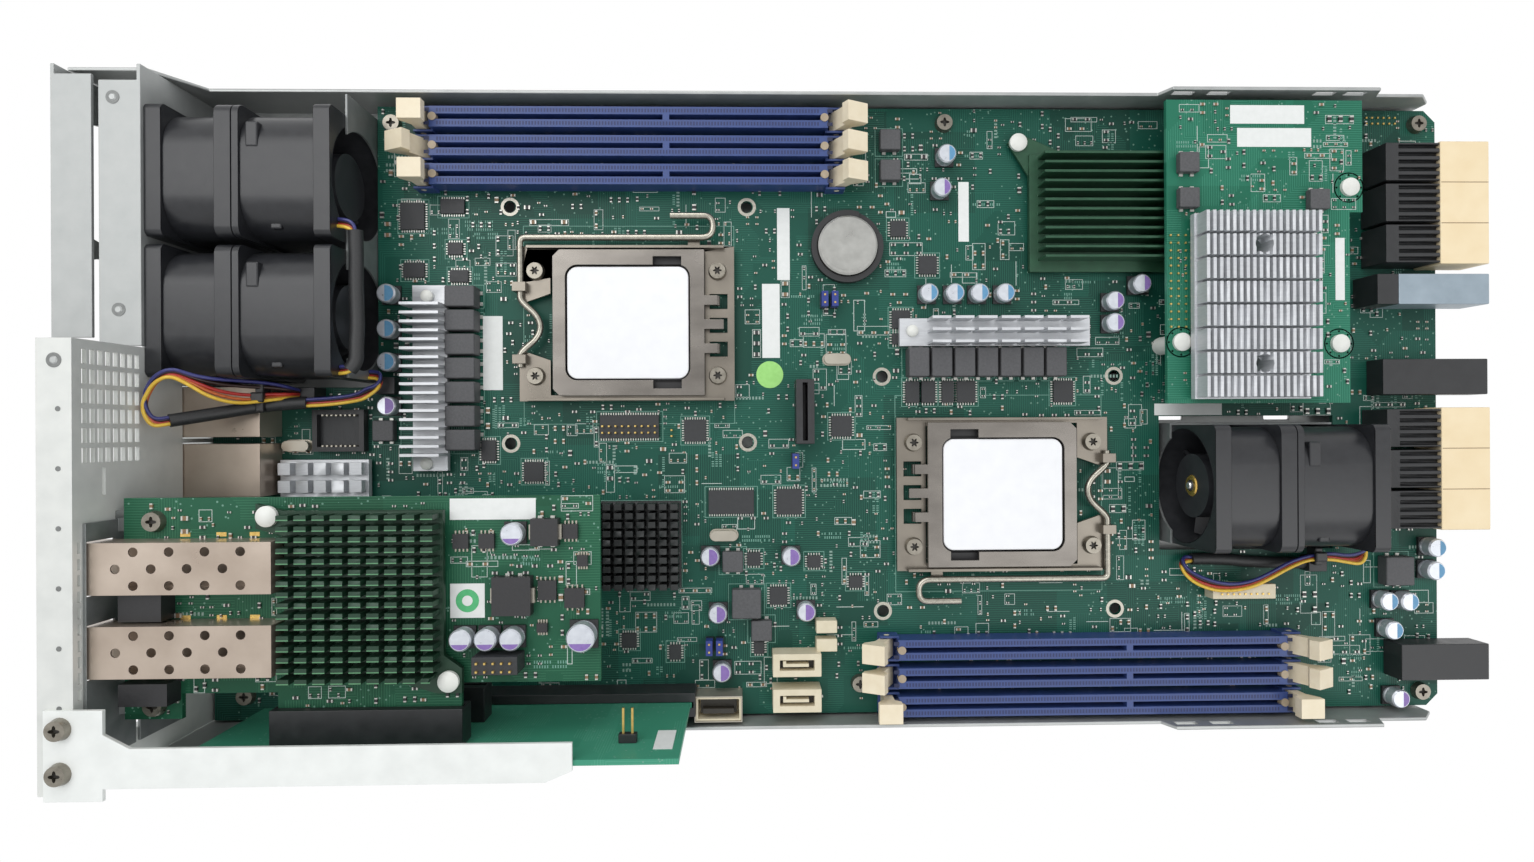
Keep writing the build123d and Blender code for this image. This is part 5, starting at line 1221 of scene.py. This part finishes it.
# Nylon pins and screws: white mouldings that hold the heatsinks and the storage card.
nylon = finish("nylon", (240, 240, 234), (222, 222, 214), 300, 0.4, relief=0.03)
pins = bmesh.new()
for low, high in parts_of("nylon_fasteners"):
    x, y, radius = upright_round(low, high)
    if high.z - low.z > 8 * mm:
        post(pins, x, y, radius, low.z, high.z)
        continue
    radius *= 0.82
    crown = high.z - 0.8 * mm
    post(pins, x, y, radius, high.z - 2.0 * mm, crown, 0, 32)
    post(pins, x, y, radius, crown, high.z, 0, 32, radius * 0.55)
nylon_pins = linked("nylon_pins", pins, nylon)
smooth(nylon_pins, 50)
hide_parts("nylon_fasteners")


# Coin cell: a bright steel lithium cell in a black moulded holder with a sprung clip.
cell_steel = finish("cell_steel", (184, 184, 180), (148, 148, 144), 300, 0.3, metal=0.75)
paint("battery_holder", socket_black)
low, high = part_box("coin_cell")
cell = bmesh.new()
x, y, radius = upright_round(low, high)
shoulder = high.z - 0.5 * mm
crown = high.z - 0.1 * mm
post(cell, x, y, radius, low.z, shoulder, 0, 64)
post(cell, x, y, radius, shoulder, crown, 0, 64, radius - 0.6 * mm)
post(cell, x, y, radius - 1.6 * mm, crown, high.z, 0, 64)
coin = linked("coin_cell_skin", cell, cell_steel, "body_coin_cell")
smooth(coin)
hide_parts("coin_cell")


# Network card: two plated module cages with vent holes, a slotted bracket, and the riser and
# slots of black plastic that carry it.
cage_plate = finish("cage_plate", (206, 192, 178), (150, 134, 120), 60, 0.3, metal=0.7, relief=0.03)
slot_plastic = finish("slot_plastic", (44, 45, 47), (26, 27, 29), 300, 0.42)
rounded("sfp_cages", cage_plate, 0.15)
rounded("lan_ports", cage_plate, 0.2)
rounded("card_slots", slot_plastic, 0.2)


# Plug end: black high-density receptacles with ribbed tops and beige wafer blocks, a cast guide
# bar, and two black power blocks.
beige = finish("wafer_beige", (250, 232, 196), (236, 212, 168), 120, 0.5, relief=0.04)
guide_alloy = finish("guide_alloy", (166, 180, 190), (134, 148, 158), 160, 0.4, metal=0.35)
rounded("backplane_connectors", slot_plastic, 0.25)
rounded("connector_wafers", beige, 0.25)
rounded("guide_bar", guide_alloy, 0.3, 2)
contact_holes = []
hole_pitch_y, hole_pitch_z = 1.9 * mm, 2.6 * mm
for low, high in parts_of("connector_wafers"):
    for column in range(int((high.y - low.y - 2 * mm) / hole_pitch_y)):
        for row in range(int((high.z - low.z - 2 * mm) / hole_pitch_z)):
            y = low.y + 1.7 * mm + column * hole_pitch_y
            z = low.z + 1.9 * mm + row * hole_pitch_z
            contact_holes.append(((high.x, y - 0.4 * mm, z - 0.6 * mm),
                                  (high.x + 0.05 * mm, y + 0.4 * mm, z + 0.6 * mm), 0))
    for share in (1 / 3, 2 / 3):
        seam = low.y + (high.y - low.y) * share
        contact_holes.append(((low.x + 0.3 * mm, seam - 0.12 * mm, high.z),
                              (high.x - 0.3 * mm, seam + 0.12 * mm, high.z + 0.03 * mm), 1))
linked("wafer_holes", many_blocks(contact_holes), [slot_plastic, tan_body])


# White and black plugs: drive ports, the upright port, fan headers and the fans' plugs.
cream = finish("cream_plastic", (232, 222, 196), (210, 198, 168), 300, 0.45)
rounded("white_connectors", cream, 0.25, 2)
rounded("cable_plugs", slot_plastic, 0.25, 2)
# painted shade inside the ports: on the floors of the wells and on the upright port's tongue
port_painted_shade = finish("port_painted_shade", (52, 48, 38), (26, 24, 20), 500, 0.5)
linings = bmesh.new()
tall_ports = (pair for pair in parts_of("white_connectors") if pair[1].z - pair[0].z > 8 * mm)
upright_port, *drive_ports = sorted(tall_ports, key=lambda pair: pair[0].x)
for low, high in drive_ports:
    x0, y0, x1, y1, lip = (value / mm for value in (low.x, low.y, high.x, high.y, high.z))
    well = lip - 3.6
    brick(linings, x0 + 2.2, y0 + 2.2, well - 0.3, x1 - 2.2, y1 - 2.2, well, 1)
    brick(linings, x0 + 3.4, y0 + 3.3, well, x1 - 4.2, y0 + 4.3, lip - 0.3)
    brick(linings, x0 + 3.4, y0 + 4.3, well, x0 + 4.4, y0 + 5.2, lip - 0.3)
low, high = upright_port
x0, y0, x1, y1, lip = (value / mm for value in (low.x, low.y, high.x, high.y, high.z))
wall = 0.35
for a, b, c, d in four_sides(x0 - wall, y0 - wall, x1 + wall, y1 + wall, wall):
    brick(linings, a, b, low.z / mm, c, d, lip + 0.3, 2)
brick(linings, x0 + 1.5, y0 + 1.5, lip - 4.0, x1 - 1.5, y1 - 1.5, lip - 3.6, 1)
brick(linings, x0 + 2.4, y0 + 2.2, lip - 3.6, x1 - 2.4, y0 + 3.8, lip - 0.8, 1)
linked("port_linings", linings, [cream, port_painted_shade, crystal_steel])
